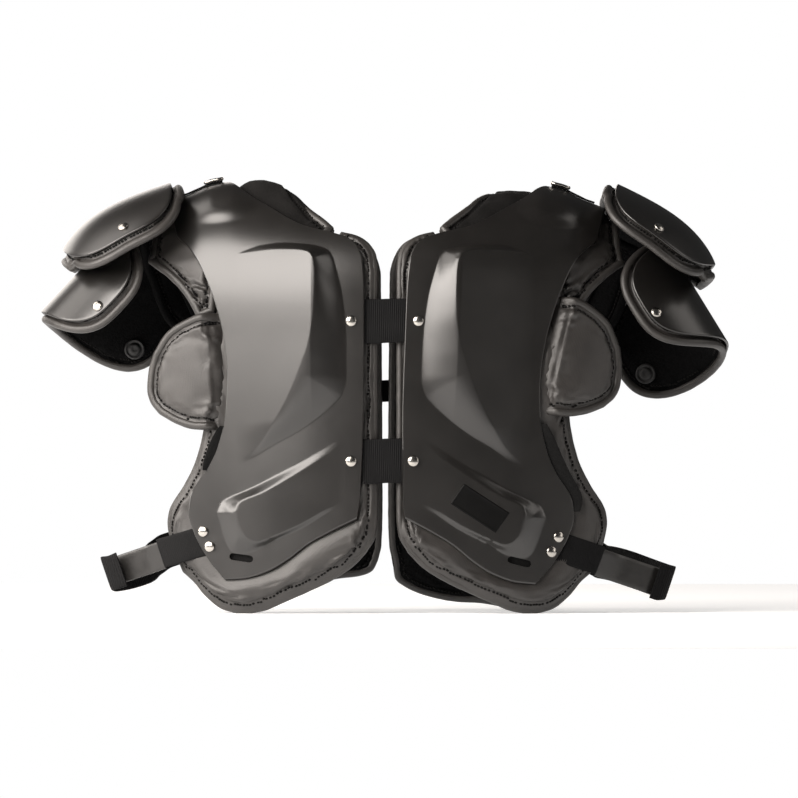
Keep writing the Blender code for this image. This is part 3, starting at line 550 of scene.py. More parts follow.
PLATES = {"epaulet": (rest_epaulet, epaulet_surface, EPAULET_MID, EPAULET_LONG, EPAULET_WIDE),
          "cap": (rest_cap, cap_surface, CAP_MID, CAP_LONG, CAP_WIDE)}


def plate_surface(side, kind, layer):
    """World point of an epaulet or cap at (u, v) of its outline and a lift over its shell.

    layer is 0 for the shell, and 1 for the pad, which stands out further all round."""
    rest, surface, mid, long, wide = PLATES[kind]
    more_long, more_wide = PLATE_GROWS[kind][layer]

    def at(u, v, lift):
        x, y = rounded(u, v)
        along, across = mid + x * (long + more_long), y * (wide + more_wide)
        return place(side, rest(side, over(surface, along, across, lift)))

    return at


def arch_surface(side, area, shift=0.0, leaning=True):
    def at(u, v, lift):
        s, p = np.moveaxis(area(u, v), -1, 0)
        return on_skin(side, s, p, lift, shift, leaning)

    return at


# ---------------------------------------------------------------- moulded relief of the chest plate

def along_polygon(points, outline):
    """Distance of each point to a closed outline, and whether it lies inside."""
    starts, ends = outline[:-1], outline[1:]
    run = ends - starts
    reach = points[:, None, :] - starts[None]
    share = np.clip((reach * run).sum(-1) / np.maximum((run**2).sum(-1), 1e-9), 0.0, 1.0)
    distance = np.linalg.norm(reach - share[..., None] * run, axis=-1).min(1)
    x, y = points[:, :1], points[:, 1:]
    straddles = (starts[:, 1] > y) != (ends[:, 1] > y)
    rise = np.where(run[:, 1] == 0, 1e-9, run[:, 1])
    crosses = x < starts[:, 0] + (y - starts[:, 1]) * run[:, 0] / rise
    return distance, (straddles & crosses).sum(1) % 2 == 1


def raised(points, foot, top):
    """Height from 0 to 1 of a shape that climbs from its foot outline to its top outline."""
    outlines = [smooth_curve(line)(np.linspace(0, 1, OUTLINE_SAMPLES)) for line in (foot, top)]
    (foot_away, in_foot), (top_away, in_top) = [along_polygon(points, line) for line in outlines]
    top_away = np.where(in_top, 0.0, top_away)
    share = np.where(in_foot, foot_away / np.maximum(foot_away + top_away, 1e-9), 0.0)
    return CLIMB_STRAIGHT * share + (1 - CLIMB_STRAIGHT) * smooth(share)


def relief(s, p):
    """How far the moulded shapes of a plate stand over the plain arch."""
    s, p = np.broadcast_arrays(s, p)
    shape = s.shape
    s, p = s.ravel() / MM, p.ravel()
    z = np.interp(np.abs(p), PATH, PATH_HEIGHT) / MM
    points = np.stack([s, z], axis=-1)
    chest = p < 0
    height = np.zeros(len(s))
    for foot, top, high, (low_at, high_at), fade in (
            (SHIELD_FOOT, SHIELD_TOP, SHIELD_HIGH, SHIELD_SLOPE, smooth(z, *SHIELD_FADE)),
            (BLOCK_FOOT, BLOCK_TOP, BLOCK_HIGH, BLOCK_SLOPE, 1.0 + 0.0 * z)):
        slope = np.clip((s - low_at) / (high_at - low_at), 0, 1) ** SLOPE_POWER
        height[chest] += high * raised(points[chest], foot, top) * (slope * fade)[chest]
    low, high = RIDGE_SPAN
    sideways = (s - (low + high) / 2) / (high - low)
    below = np.maximum(0.0, RIDGE_END + RIDGE_ROUND - z) / RIDGE_ROUND
    height += RIDGE_HIGH * (1 - smooth(np.hypot(sideways, below), *RIDGE_EDGE))
    return height.reshape(shape)


# ---------------------------------------------------------------- mesh helpers

def new_object(name, points, faces, materials, face_slots=None):
    """A smooth-shaded object whose faces all look outwards."""
    mesh = bpy.data.meshes.new(name)
    mesh.from_pydata(np.asarray(points).reshape(-1, 3).tolist(), [], [list(face) for face in faces])
    work = bmesh.new()
    work.from_mesh(mesh)
    bmesh.ops.recalc_face_normals(work, faces=work.faces)
    work.to_mesh(mesh)
    work.free()
    mesh.shade_smooth()
    for material in materials:
        mesh.materials.append(material)
    if face_slots is not None:
        mesh.polygons.foreach_set("material_index", np.asarray(face_slots, dtype=np.int32))
    obj = bpy.data.objects.new(name, mesh)
    bpy.context.scene.collection.objects.link(obj)
    return obj


def quads_between(loops):
    """Faces between each loop of point numbers and the next."""
    return np.concatenate([np.stack([a, b, np.roll(b, -1), np.roll(a, -1)], axis=-1)
                           for a, b in zip(loops, loops[1:])])


def capped(loops):
    """The same with both ends closed."""
    return quads_between(loops).tolist() + [loops[0].tolist(), loops[-1].tolist()]


def edge_of(grid):
    return np.concatenate([grid[0, :-1], grid[:-1, -1], grid[-1, :0:-1], grid[:0:-1, 0]])


def closed_sheet(name, outer, inner, materials, rings=()):
    """Two grids of points joined round their edges through rings of points."""
    rows, columns = outer.shape[:2]
    count = rows * columns
    index = np.arange(count).reshape(rows, columns)
    quads = np.stack([index[:-1, :-1], index[:-1, 1:], index[1:, 1:], index[1:, :-1]], -1).reshape(-1, 4)
    edge = edge_of(index)
    between = [2 * count + k * len(edge) + np.arange(len(edge)) for k in range(len(rings))]
    sides = quads_between([edge] + between + [edge + count])
    points = np.concatenate([outer.reshape(-1, 3), inner.reshape(-1, 3)] + list(rings))
    faces = np.concatenate([quads, quads[:, ::-1] + count, sides])
    which = np.repeat(SHEET_SLOTS, (len(quads), len(quads), len(sides)))
    return new_object(name, points, faces, materials, which)


def moulded_sheet(name, at, us, vs):
    """A plastic sheet of even thickness with a half-round edge that rolls slightly outwards."""
    u, v = np.meshgrid(us, vs)
    outer, inner = at(u, v, 0.0), at(u, v, -SHELL_THICK)
    top, bottom = edge_of(outer), edge_of(inner)
    out = unit(top - edge_of(at(*towards_middle(u, v, 0.995), 0.0)))
    rings = []
    for turn in np.linspace(0, np.pi, EDGE_STEPS + 2)[1:-1]:
        share = (1 + math.cos(turn)) / 2
        rings.append(top * share + bottom * (1 - share) + out * SHELL_THICK / 2 * math.sin(turn))
    return closed_sheet(name, outer, inner, [PLASTIC, PLASTIC], rings)


def sweep(name, centres, outs, ups, wide, high, material, closed=True):
    """Tube with an oval section along a loop or an open line; wide and high may vary along it."""
    turn = np.linspace(0, 2 * np.pi, SWEEP_AROUND, endpoint=False)
    wide, high = (np.broadcast_to(value, len(centres))[:, None, None] / 2 for value in (wide, high))
    points = (centres[:, None] + outs[:, None] * np.cos(turn)[None, :, None] * wide
              + ups[:, None] * np.sin(turn)[None, :, None] * high)
    loops = list(np.arange(len(centres) * SWEEP_AROUND).reshape(-1, SWEEP_AROUND))
    faces = quads_between(loops + loops[:1]) if closed else capped(loops)
    return new_object(name, points, faces, [material])


def wave_noise(points, scale, seed=0.0):
    """Smooth noise from -1 to 1 at each point."""
    return np.array([noise.noise(Vector(point) * scale + Vector((seed, seed, seed))) for point in points])


def lathe(name, profile, foot, normal, material):
    """A turned piece: (radius, height) points spun round a normal that stands on a foot point."""
    turn = np.array(Vector(normal).normalized().to_track_quat("Z", "Y").to_matrix())
    angles = np.linspace(0, 2 * np.pi, LATHE_AROUND, endpoint=False)
    points = [turn @ np.array((radius * math.cos(angle), radius * math.sin(angle), height)) + foot
              for radius, height in profile for angle in angles]
    loops = list(np.arange(len(points)).reshape(-1, LATHE_AROUND))
    return new_object(name, points, capped(loops), [material])


# ---------------------------------------------------------------- sewing

class Outline:
    """The edge of a pad: evenly spaced points with their outward and upward directions."""

    def __init__(self, at, middle):
        t = np.linspace(0, 1, 500, endpoint=False)
        zero, one = np.zeros_like(t), np.ones_like(t)
        u = np.concatenate([t, one, 1 - t, zero])
        v = np.concatenate([zero, t, one, 1 - t])
        points = at(u, v, middle + 0 * u)
        steps = np.linalg.norm(np.roll(points, -1, axis=0) - points, axis=1)
        length = steps.sum()
        along = np.append(0.0, np.cumsum(steps))
        count = int(length / OUTLINE_SPACING)
        wanted = np.linspace(0, length, count, endpoint=False)
        u, v = (np.interp(wanted, along, np.append(value, value[0])) for value in (u, v))
        self.u, self.length, self.along = u, length, wanted
        self.centres = at(u, v, middle + 0 * u)
        self.ups = unit(at(u, v, middle + 0.001 + 0 * u) - at(u, v, middle - 0.001 + 0 * u))
        tangents = np.roll(self.centres, -2, axis=0) - np.roll(self.centres, 2, axis=0)
        self.tangents = unit(tangents)
        outs = unit(np.cross(self.tangents, self.ups))
        further_in = at(*towards_middle(u, v, 0.98), middle + 0 * u)
        self.outs = outs * np.sign(((self.centres - further_in) * outs).sum())
        self.tree = KDTree(count)
        for i, point in enumerate(self.centres):
            self.tree.insert(point, i)
        self.tree.balance()

    def nearest(self, points):
        """Distance in from the edge, the place along it, and the nearest index, for each point."""
        found = np.array([self.tree.find(point)[1] for point in points])
        away = points - self.centres[found]
        flat = away - (away * self.ups[found]).sum(1, keepdims=True) * self.ups[found]
        return np.linalg.norm(flat, axis=1), self.along[found], found


def graded(length):
    """Places from 0 to 1 across a pad, closer together near both edges."""
    if length < 2.5 * GRID_MARGIN:
        return np.linspace(0, 1, max(4, round(length / GRID_FINE)) + 1)
    edge = np.arange(0, GRID_MARGIN, GRID_FINE)
    spans = max(2, round((length - 2 * GRID_MARGIN) / GRID_COARSE))
    middle = np.linspace(GRID_MARGIN, length - GRID_MARGIN, spans + 1)
    return np.concatenate([edge, middle, length - edge[::-1]]) / length


def line_length(points):
    return float(np.linalg.norm(np.diff(points, axis=0), axis=1).sum())


def thread_form():
    """One stitch, in units of its length and half its width: its points and its faces."""
    n = STITCH_SIDES
    rings = [(x, math.cos(a), math.sin(a)) for x in (-0.3, 0.3)
             for a in np.linspace(0, 2 * np.pi, n, endpoint=False)]
    last = 2 * n + 1
    faces = [(0, 1 + i, 1 + (i + 1) % n) for i in range(n)]
    faces += [(1 + i, n + 1 + i, n + 1 + (i + 1) % n, 1 + (i + 1) % n) for i in range(n)]
    faces += [(last, n + 1 + (i + 1) % n, n + 1 + i) for i in range(n)]
    return np.array([(-0.5, 0, 0), *rings, (0.5, 0, 0)]), faces


def stitches(name, obj, outline, side_up, open_inside):
    """Short threads laid on the finished pad along a line parallel to its edge."""
    tree = BVHTree.FromObject(obj, bpy.context.evaluated_depsgraph_get())
    count = int(outline.length / STITCH_PITCH)
    picks = (np.arange(count) * len(outline.centres) / count).astype(int)
    if open_inside:
        picks = picks[outline.u[picks] > 1e-6]
    form, form_faces = thread_form()
    points, faces = [], []
    for i in picks:
        guess = outline.centres[i] - outline.outs[i] * SEAM_IN + side_up * outline.ups[i] * STITCH_FROM
        spot, normal, _, gap = tree.find_nearest(Vector(guess))
        if spot is None or gap > STITCH_REACH:
            continue
        across = normal.cross(Vector(outline.tangents[i])).normalized()
        ahead = across.cross(normal)
        faces += [[corner + len(points) for corner in face] for face in form_faces]
        points += [spot + ahead * (x * STITCH_LONG) + across * (y * STITCH_WIDE / 2)
                   + normal * (z * STITCH_WIDE / 2 + THREAD_OUT) for x, y, z in form]
    return new_object(name, points, faces, [THREAD])


PADS = []


def pad(name, node, body, at, lift, thick, materials, cap=0.0022, puff=None, pucker=0.0024, rim=0.30,
        gathers=(), slot="pad_fabric", seams=(), edging=None, bends=None):
    """A sewn pad: a crowned closed form, swollen by simulation, then sewn.

    lift is its outer face, cap the most it swells, and rim the share of its thickness at the edge.
    A pad given bends, the line of its root, has no binding or stitches there."""
    middle = lift - thick / 2
    outline = Outline(at, middle)
    t = np.linspace(0, 1, 60)
    us = graded(line_length(at(t, 0 * t + 0.5, middle + 0 * t)))
    vs = graded(line_length(at(0 * t + 0.5, t, middle + 0 * t)))
    u, v = np.meshgrid(us, vs)
    flat = at(u, v, middle + 0 * u)
    away = outline.nearest(flat.reshape(-1, 3))[0].reshape(u.shape)
    climb = np.clip((away - CROWN_FROM) / CROWN_OVER, 0, 1)
    crown = rim + (1 - rim) * np.sqrt(np.clip(1 - (1 - climb) ** 2, 0, 1))
    half = (thick / 2 - cap * 0.6) * crown
    extra = puff(u, v) * crown if puff else 0.0 * u
    obj = closed_sheet(name, at(u, v, middle + half + extra), at(u, v, middle - half), materials)
    held = np.where(away.ravel() < HELD_RIM)[0]
    group = obj.vertex_groups.new(name="sewn")
    group.add(np.concatenate([held, held + u.size]).tolist(), 1.0, "REPLACE")
    PADS.append(dict(obj=obj, outline=outline, cap=cap, pucker=pucker, gathers=gathers, node=node,
                     body=body, slot=slot, seams=seams, edging=edging or BINDING, bends=bends))


def coordinates(mesh):
    values = np.empty(len(mesh.vertices) * 3)
    mesh.vertices.foreach_get("co", values)
    return values.reshape(-1, 3)


def swell_pads():
    """Runs every pad's cloth at once under a little air pressure, then keeps a capped share of it."""
    for item in PADS:
        cloth = item["obj"].modifiers.new("stuffing", "CLOTH")
        for name, value in CLOTH.items():
            setattr(cloth.settings, name, value)
        cloth.settings.effector_weights.gravity = 0
        cloth.collision_settings.use_collision = False
    scene = bpy.context.scene
    for step in range(1, CLOTH_FRAMES + 1):
        scene.frame_set(step)
    deps = bpy.context.evaluated_depsgraph_get()
    swollen = [coordinates(item["obj"].evaluated_get(deps).to_mesh()) for item in PADS]
    for item, after in zip(PADS, swollen):
        item["obj"].modifiers.clear()
        mesh = item["obj"].data
        before = coordinates(mesh)
        move = after - before
        size = np.linalg.norm(move, axis=1, keepdims=True)
        move *= item["cap"] * np.tanh(size / item["cap"]) / np.maximum(size, 1e-9)
        mesh.vertices.foreach_set("co", (before + move).ravel())
    scene.frame_set(1)


def sew(item):
    """Subdivides a pad, presses in its seams and puckers, and adds its binding and stitches."""
    obj, outline = item["obj"], item["outline"]
    obj.vertex_groups.clear()
    fine = obj.modifiers.new("fine", "SUBSURF")
    fine.levels = fine.render_levels = 1
    mesh = bpy.data.meshes.new_from_object(obj.evaluated_get(bpy.context.evaluated_depsgraph_get()))
    obj.modifiers.clear()
    obj.data = mesh
    points = coordinates(mesh)
    normals = np.array([vert.normal[:] for vert in mesh.vertices])
    away, along, found = outline.nearest(points)
    rough = wave_noise(points, *ROUGH)
    uneven = 0.55 + 0.45 * wave_noise(points, *UNEVEN)
    phase = 2 * np.pi * along / PUCKER_PITCH + PUCKER_WANDER * rough
    if item["bends"]:
        away = np.where(outline.u[found] > 1e-6, away, BILLOW_FROM[1])
    near = hump(away - SEAM_IN - PUCKER_IN, PUCKER_WIDE)
    height = item["pucker"] * near * uneven * np.sin(phase)
    height -= GROOVE_DEEP * hump(away - SEAM_IN, GROOVE_WIDE)
    height += BILLOW_DEEP * wave_noise(points, *BILLOWS) * smooth(away, *BILLOW_FROM)
    height += WRINKLE_DEEP * wave_noise(points, *WRINKLES)
    for centre, direction, reach, pitch, deep in item["gathers"]:
        offset = points - centre
        share = np.exp(-((offset**2).sum(1) / reach**2))
        height += deep * share * np.sin(2 * np.pi * (offset @ direction) / pitch + 1.5 * rough)
    for start, end, inset in item["seams"]:
        run = end - start
        share = np.clip(((points - start) @ run) / (run @ run), 0, 1)
        gap = np.linalg.norm(points - start - share[:, None] * run, axis=1)
        beside, wide, pitch = CROSS_PUCKER
        height -= inset * hump(gap, CROSS_SEAM_WIDE)
        height += 0.5 * inset * hump(gap - beside, wide) * np.sin(
            2 * np.pi * share * np.linalg.norm(run) / pitch + 2 * rough)
    points = points + normals * height[:, None]
    mesh.vertices.foreach_set("co", points.ravel())
    mesh.shade_smooth()
    mesh.update()
    ripple = 1 + BINDING_RIPPLE[0] * wave_noise(outline.centres, BINDING_RIPPLE[1])
    centres = outline.centres - outline.outs * (BINDING_WIDE / 2 - BINDING_IN)
    kept = np.arange(len(centres))
    if item["bends"]:
        kept = np.roll(kept, -int(np.argmax(outline.u < 1e-6)))
        kept = kept[outline.u[kept] > 1e-6]
    pieces = [obj, sweep(f"{obj.name}_binding", centres[kept], outline.outs[kept], outline.ups[kept],
                         (BINDING_WIDE * ripple)[kept], (BINDING_HIGH * ripple)[kept], item["edging"],
                         closed=not item["bends"])]
    for end, side_up in (("stitches", 1.0), ("stitches_inside", -1.0)):
        pieces.append(stitches(f"{obj.name}_{end}", obj, outline, side_up, bool(item["bends"])))
    for piece in pieces:
        if item["bends"]:
            inner_body, start, end = item["bends"]
            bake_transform(piece)
        else:
            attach(piece, item["body"])
    if item["node"]:
        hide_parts(item["node"])


# ---------------------------------------------------------------- materials

def base_material(name, colour, roughness, metallic=0.0, **more):
    """A Principled material; more names further sockets, with _ for a space."""
    item = bpy.data.materials.new(name)
    item.use_nodes = True
    shader = item.node_tree.nodes["Principled BSDF"]
    shader.inputs["Base Color"].default_value = (*colour, 1.0)
    shader.inputs["Roughness"].default_value = roughness
    shader.inputs["Metallic"].default_value = metallic
    for socket, value in more.items():
        shader.inputs[socket.replace("_", " ")].default_value = value
    return item, item.node_tree, shader


def add_node(tree, kind, **values):
    """A shader node with its inputs or its settings filled in."""
    node = tree.nodes.new(kind)
    for name, value in values.items():
        if name in node.inputs:
            node.inputs[name].default_value = value
        else:
            setattr(node, name, value)
    return node


def coordinates_of(tree):
    return add_node(tree, "ShaderNodeTexCoord").outputs["Object"]


def noise_node(tree, scale, detail=3.0, roughness=0.5):
    node = add_node(tree, "ShaderNodeTexNoise", Scale=scale, Detail=detail, Roughness=roughness)
    tree.links.new(coordinates_of(tree), node.inputs["Vector"])
    return node.outputs["Fac"]


def wave_node(tree, pitch, direction):
    node = add_node(tree, "ShaderNodeTexWave", bands_direction=direction, Scale=0.3142 / pitch)
    tree.links.new(coordinates_of(tree), node.inputs["Vector"])
    return node.outputs["Fac"]


def vary_colour(tree, shader, factor, low, high):
    ramp = tree.nodes.new("ShaderNodeValToRGB")
    for element, colour, position in zip(ramp.color_ramp.elements, (low, high), (0.3, 0.7)):
        element.color = (*colour, 1.0)
        element.position = position
    tree.links.new(factor, ramp.inputs["Fac"])
    tree.links.new(ramp.outputs["Color"], shader.inputs["Base Color"])


def add_heights(tree, *parts):
    """Weighted sum of (output, weight) pairs."""
    total = None
    for factor, weight in parts:
        scaled = add_node(tree, "ShaderNodeMath", operation="MULTIPLY")
        tree.links.new(factor, scaled.inputs[0])
        scaled.inputs[1].default_value = weight
        if total is None:
            total = scaled.outputs[0]
            continue
        both = add_node(tree, "ShaderNodeMath", operation="ADD")
        tree.links.new(total, both.inputs[0])
        tree.links.new(scaled.outputs[0], both.inputs[1])
        total = both.outputs[0]
    return total


def bump(tree, shader, height, distance, strength):
    node = add_node(tree, "ShaderNodeBump", Distance=distance, Strength=strength)
    tree.links.new(height, node.inputs["Height"])
    tree.links.new(node.outputs["Normal"], shader.inputs["Normal"])


def vary_roughness(tree, shader, factor, low, high):
    node = add_node(tree, "ShaderNodeMapRange")
    node.inputs["To Min"].default_value = low
    node.inputs["To Max"].default_value = high
    tree.links.new(factor, node.inputs["Value"])
    tree.links.new(node.outputs["Result"], shader.inputs["Roughness"])


def tint(colour, share):
    return tuple(channel * share for channel in colour)


def shell_plastic():
    colour = (0.0090, 0.0082, 0.0076)
    item, tree, shader = base_material("moulded_plastic", colour, 0.29, Specular_IOR_Level=0.70)
    cloudy = noise_node(tree, 38.0, 4.0)
    grain = noise_node(tree, 1500.0, 3.0)
    vary_colour(tree, shader, cloudy, tint(colour, 0.88), tint(colour, 1.12))
    vary_roughness(tree, shader, cloudy, 0.26, 0.32)
    bump(tree, shader, add_heights(tree, (grain, 1.0), (noise_node(tree, 260.0), 0.6)), 0.00005, 0.7)
    return item


def woven(name, colour, roughness, pitch, depth, gloss):
    item, tree, shader = base_material(name, colour, roughness, Specular_IOR_Level=gloss)
    threads = add_heights(tree, (wave_node(tree, pitch, "X"), 0.5), (wave_node(tree, pitch, "Z"), 0.5),
                          (wave_node(tree, pitch, "Y"), 0.4), (noise_node(tree, 700.0), 0.6))
    cloudy = noise_node(tree, 60.0, 4.0)
    vary_colour(tree, shader, cloudy, tint(colour, 0.8), tint(colour, 1.2))
    vary_roughness(tree, shader, cloudy, roughness - 0.05, roughness + 0.07)
    bump(tree, shader, threads, depth, 0.8)
    return item


def brushed(name, colour, sheen):
    item, tree, shader = base_material(name, colour, 0.95, Sheen_Weight=sheen, Sheen_Roughness=0.6,
                                       Specular_IOR_Level=0.15)
    fuzz = noise_node(tree, 900.0, 5.0, 0.7)
    vary_colour(tree, shader, fuzz, tint(colour, 0.6), tint(colour, 1.5))
    bump(tree, shader, add_heights(tree, (fuzz, 1.0), (noise_node(tree, 240.0), 0.8)), 0.0004, 0.8)
    return item


def knitted(name, colour, pitch):
    item, tree, shader = base_material(name, colour, 0.8, Specular_IOR_Level=0.05)
    cells = add_node(tree, "ShaderNodeTexVoronoi", Scale=1 / pitch)
    tree.links.new(coordinates_of(tree), cells.inputs["Vector"])
    vary_colour(tree, shader, cells.outputs["Distance"], tint(colour, 1.4), tint(colour, 0.5))
    bump(tree, shader, cells.outputs["Distance"], 0.0004, 0.7)
    return item


def smooth_plastic(name, colour, roughness, gloss=0.5):
    item, tree, shader = base_material(name, colour, roughness, Specular_IOR_Level=gloss)
    cloudy = noise_node(tree, 120.0, 4.0)
    vary_roughness(tree, shader, cloudy, roughness - 0.06, roughness + 0.08)
    vary_colour(tree, shader, cloudy, tint(colour, 0.85), tint(colour, 1.15))
    bump(tree, shader, noise_node(tree, 1800.0), 0.00003, 0.5)
    return item


def nickel():
    colour = (0.46, 0.44, 0.41)
    item, tree, shader = base_material("nickel", colour, 0.2, 1.0)
    worn = noise_node(tree, 420.0, 5.0, 0.65)
    vary_roughness(tree, shader, worn, 0.15, 0.30)
    vary_colour(tree, shader, worn, tint(colour, 0.86), colour)
    bump(tree, shader, worn, 0.00003, 0.4)
    return item


PLASTIC = shell_plastic()
NYLON = woven("satin_nylon", (0.025, 0.0228, 0.0213), 0.42, 0.0008, 0.00007, gloss=0.5)
BINDING = woven("binding_tape", (0.024, 0.0219, 0.0203), 0.42, 0.0010, 0.00010, gloss=0.5)
LINER = knitted("liner_mesh", (0.0026, 0.0026, 0.0028), 0.0016)
COLLAR = brushed("brushed_collar", (0.0055, 0.0051, 0.0049), 0.0)
VELOUR = brushed("velour_strip", (0.003, 0.003, 0.003), 0.04)
WEBBING = woven("black_webbing", (0.0034, 0.0034, 0.0037), 0.55, 0.0009, 0.00012, gloss=0.11)
THREAD = woven("thread", (0.005, 0.0048, 0.0046), 0.7, 0.0005, 0.00005, gloss=0.1)
HOOK = smooth_plastic("hook_plastic", (0.013, 0.0122, 0.0115), 0.30)
RUBBER = smooth_plastic("black_snap", (0.0035, 0.0035, 0.0038), 0.55)
LABEL = smooth_plastic("blank_label", (0.0018, 0.0018, 0.0018), 0.5, gloss=0.12)
STEEL = nickel()


# ---------------------------------------------------------------- sub-parts

def finish_piece(obj, body, slot, *nodes):
    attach(obj, body)
    if nodes:
        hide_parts(*nodes)


def slot_cutter(side):
    """A slot with round ends, as a solid that is cut out of the shell and then removed."""
    radius, straight = SLOT_HIGH / 2, SLOT_LONG / 2 - SLOT_HIGH / 2
    outline = [(straight + radius * math.cos(a), radius * math.sin(a))
               for a in np.linspace(-math.pi / 2, math.pi / 2, 9)]
    outline += [(-x, -z) for x, z in outline]
    deep = 6 * SHELL_THICK
    middle = on_skin(side, SLOT_S, -path_down_to(SLOT_Z), 0.0)
    turn = np.array(Matrix.Rotation(SLOT_TILT[side], 3, "Y"))
    points = [turn @ np.array((x, y, z)) + middle for y in (-deep, deep) for x, z in outline]
    loops = list(np.arange(len(points)).reshape(2, -1))
    return new_object(f"{side}_slot_cutter", points, capped(loops), [PLASTIC])


def arch_shell(side):
    """Chest, shoulder and back plate in one; the chest is sampled finest, for its moulded shapes."""
    area = patch(flat_curve(SHELL_FOOT, -1), flat_curve(SHELL_FOOT, 1),
                 arch_curve(SHELL_INNER, SHELL_INNER_CROWN), arch_curve(SHELL_OUTER, SHELL_OUTER_CROWN))

    def at(u, v, lift):
        s, p = np.moveaxis(area(u, v), -1, 0)
        return on_skin(side, s, p, lift + relief(s, p))

    vs = np.concatenate([np.linspace(0, 0.44, 360)[:-1], np.linspace(0.44, 1, 190)])
    obj = moulded_sheet(f"{side}_arch_shell_moulded", at, np.linspace(0, 1, 161), vs)
    cutter = slot_cutter(side)
    cut = obj.modifiers.new("strap_slot", "BOOLEAN")
    cut.operation = "DIFFERENCE"
    cut.solver = "FAST"
    cut.object = cutter
    mesh = bpy.data.meshes.new_from_object(obj.evaluated_get(bpy.context.evaluated_depsgraph_get()))
    obj.modifiers.clear()
    obj.data = mesh
    mesh.set_sharp_from_angle(angle=math.radians(50))
    bpy.data.objects.remove(cutter)
    finish_piece(obj, f"{side}_half", "shell_plastic", f"{side}_arch_shell")


def past_shell(area, shift):
    """Lift of a body pad where it stands out past the shell's edge."""
    lines = [flat_curve(SHELL_FOOT, -1), flat_curve(SHELL_INNER, -1), flat_curve(SHELL_OUTER, -1)]
    t = np.linspace(0, 1, 80)
    foot, inner, outer = (line(t) for line in lines)
    outline = np.concatenate([foot, outer, inner[::-1], foot[:1]])

    def lift(u, v):
        s, p = np.moveaxis(area(u, v), -1, 0)
        s, p = s + shift, -np.abs(p)
        if shift:
            s = s - LEAN_OUT + (np.abs(p) - PATH_SHOULDER).clip(0) * math.sin(LEAN_ANGLE)
        away, inside = along_polygon(np.stack([s.ravel(), p.ravel()], axis=-1), outline)
        return (PAD_PROUD * smooth(np.where(inside, 0.0, away), *PAD_PROUD_OVER)).reshape(s.shape)

    return lift


def body_pads(side):
    for face, end in ((-1, "front"), (1, "back")):
        inner, foot = (PAD_INNER, PAD_FOOT) if face < 0 else (BACK_PAD_INNER, BACK_PAD_FOOT[side])
        area = patch(flat_curve(foot, face), flat_curve(PAD_HEAD, face),
                     flat_curve(inner, face), flat_curve(PAD_OUTER, face))
        shift = PAD_SHIFT if side == LEAN_SIDE and face < 0 else 0.0
        at = arch_surface(side, area, shift, leaning=False)
        pad(f"{side}_{end}_pad_sewn", f"{side}_{end}_pad", f"{side}_half", at, PAD_LIFT, PAD_THICK,
            [NYLON, LINER], puff=past_shell(area, shift))


def two_line_area(inner_points, outer_points, crowns):
    inner, outer = arch_curve(inner_points, crowns[0]), arch_curve(outer_points, crowns[1])
    ends = np.array((0.0, 1.0))
    (inner_start, inner_end), (outer_start, outer_end) = inner(ends), outer(ends)
    return patch(smooth_curve([inner_start, outer_start]), smooth_curve([inner_end, outer_end]), inner, outer)


def shoulder_pad(side):
    area = two_line_area(SHOULDER_INNER, SHOULDER_OUTER, SHOULDER_CROWNS)
    gathers = []
    for face in (-1, 1):
        centre, towards = (on_skin(side, s, face * path_down_to(z), 0.0)
                           for s, z in (GATHER_AT, GATHER_TOWARDS))
        gathers.append((centre, unit(towards - centre), *GATHER_WAVE))
    pad(f"{side}_shoulder_pad_sewn", f"{side}_shoulder_pad", f"{side}_half", arch_surface(side, area),
        PAD_LIFT, SOFT_TRIM_THICK, [NYLON, LINER], gathers=gathers, cap=0.0018)


def neck_pad(side):
    area = two_line_area(NECK_INNER, NECK_OUTER, NECK_CROWNS)
    t = np.linspace(0, 1, 400)
    shell_s, shell_p = arch_curve(SHELL_INNER, SHELL_INNER_CROWN)(t).T

    def roll(u, v):
        """The roll stands up where the shell's neck edge lets it out."""
        s, p = np.moveaxis(area(u, v), -1, 0)
        upper = smooth(np.interp(np.abs(p), PATH, PATH_HEIGHT), *NECK_ROLL_FROM)
        return NECK_ROLL[side] * upper * smooth(np.interp(p, shell_p, shell_s) - s, *NECK_ROLL_PAST)

    pad(f"{side}_neck_pad_sewn", f"{side}_neck_pad", f"{side}_half", arch_surface(side, area),
        PAD_LIFT, SOFT_TRIM_THICK, [COLLAR, COLLAR], slot="collar_fabric", cap=0.0025, pucker=0.0005,
        rim=0.4, puff=roll)


def wing_curve(side, points):
    out, up, angle = WING_REST[side]
    flat = np.array([(s * MM, 0, z * MM) for s, z in points])
    moved = turned(flat, WING_CENTRE, Matrix.Rotation(angle, 3, "Y")) + np.array((out, 0, up))
    return flat_curve(moved[:, (0, 2)] / MM, -1)


def wing_pad(side):
    """Side wing that comes out from under the chest plate."""
    area = patch(*[wing_curve(side, line) for line in (WING_FOOT, WING_HEAD, WING_SEAM, WING_TIP)])
    shell_s, shell_p = flat_curve(SHELL_OUTER, -1)(np.linspace(0, 1, 400)).T

    def at(u, v, lift):
        s, p = np.moveaxis(area(u, v), -1, 0)
        past = s - np.interp(p, shell_p, shell_s)
        return on_skin(side, s, p, lift - WING_DIVE * (1 - smooth(past, *WING_DIVE_OVER)))

    ends = [at(np.array([WING_SEAM_IN]), np.array([v]), np.array([WING_LIFT]))[0] for v in WING_SEAM_ENDS]
    outward = np.array((SIDES[side], 0, 0))
    hinge = on_skin(side, WING_HINGE_S, -path_down_to(WING_CENTRE[2]), 0.0)
    turns = (f"{side}_half", tuple(hinge - outward * WING_TURNS[0]), tuple(hinge + outward * WING_TURNS[1]))
    pad(f"{side}_wing_pad_sewn", f"{side}_wing_pad", f"{side}_wing", at, WING_LIFT, WING_THICK,
        [NYLON, LINER], cap=0.0035, pucker=0.0011, seams=[(*ends, WING_SEAM_DEEP)], bends=turns)


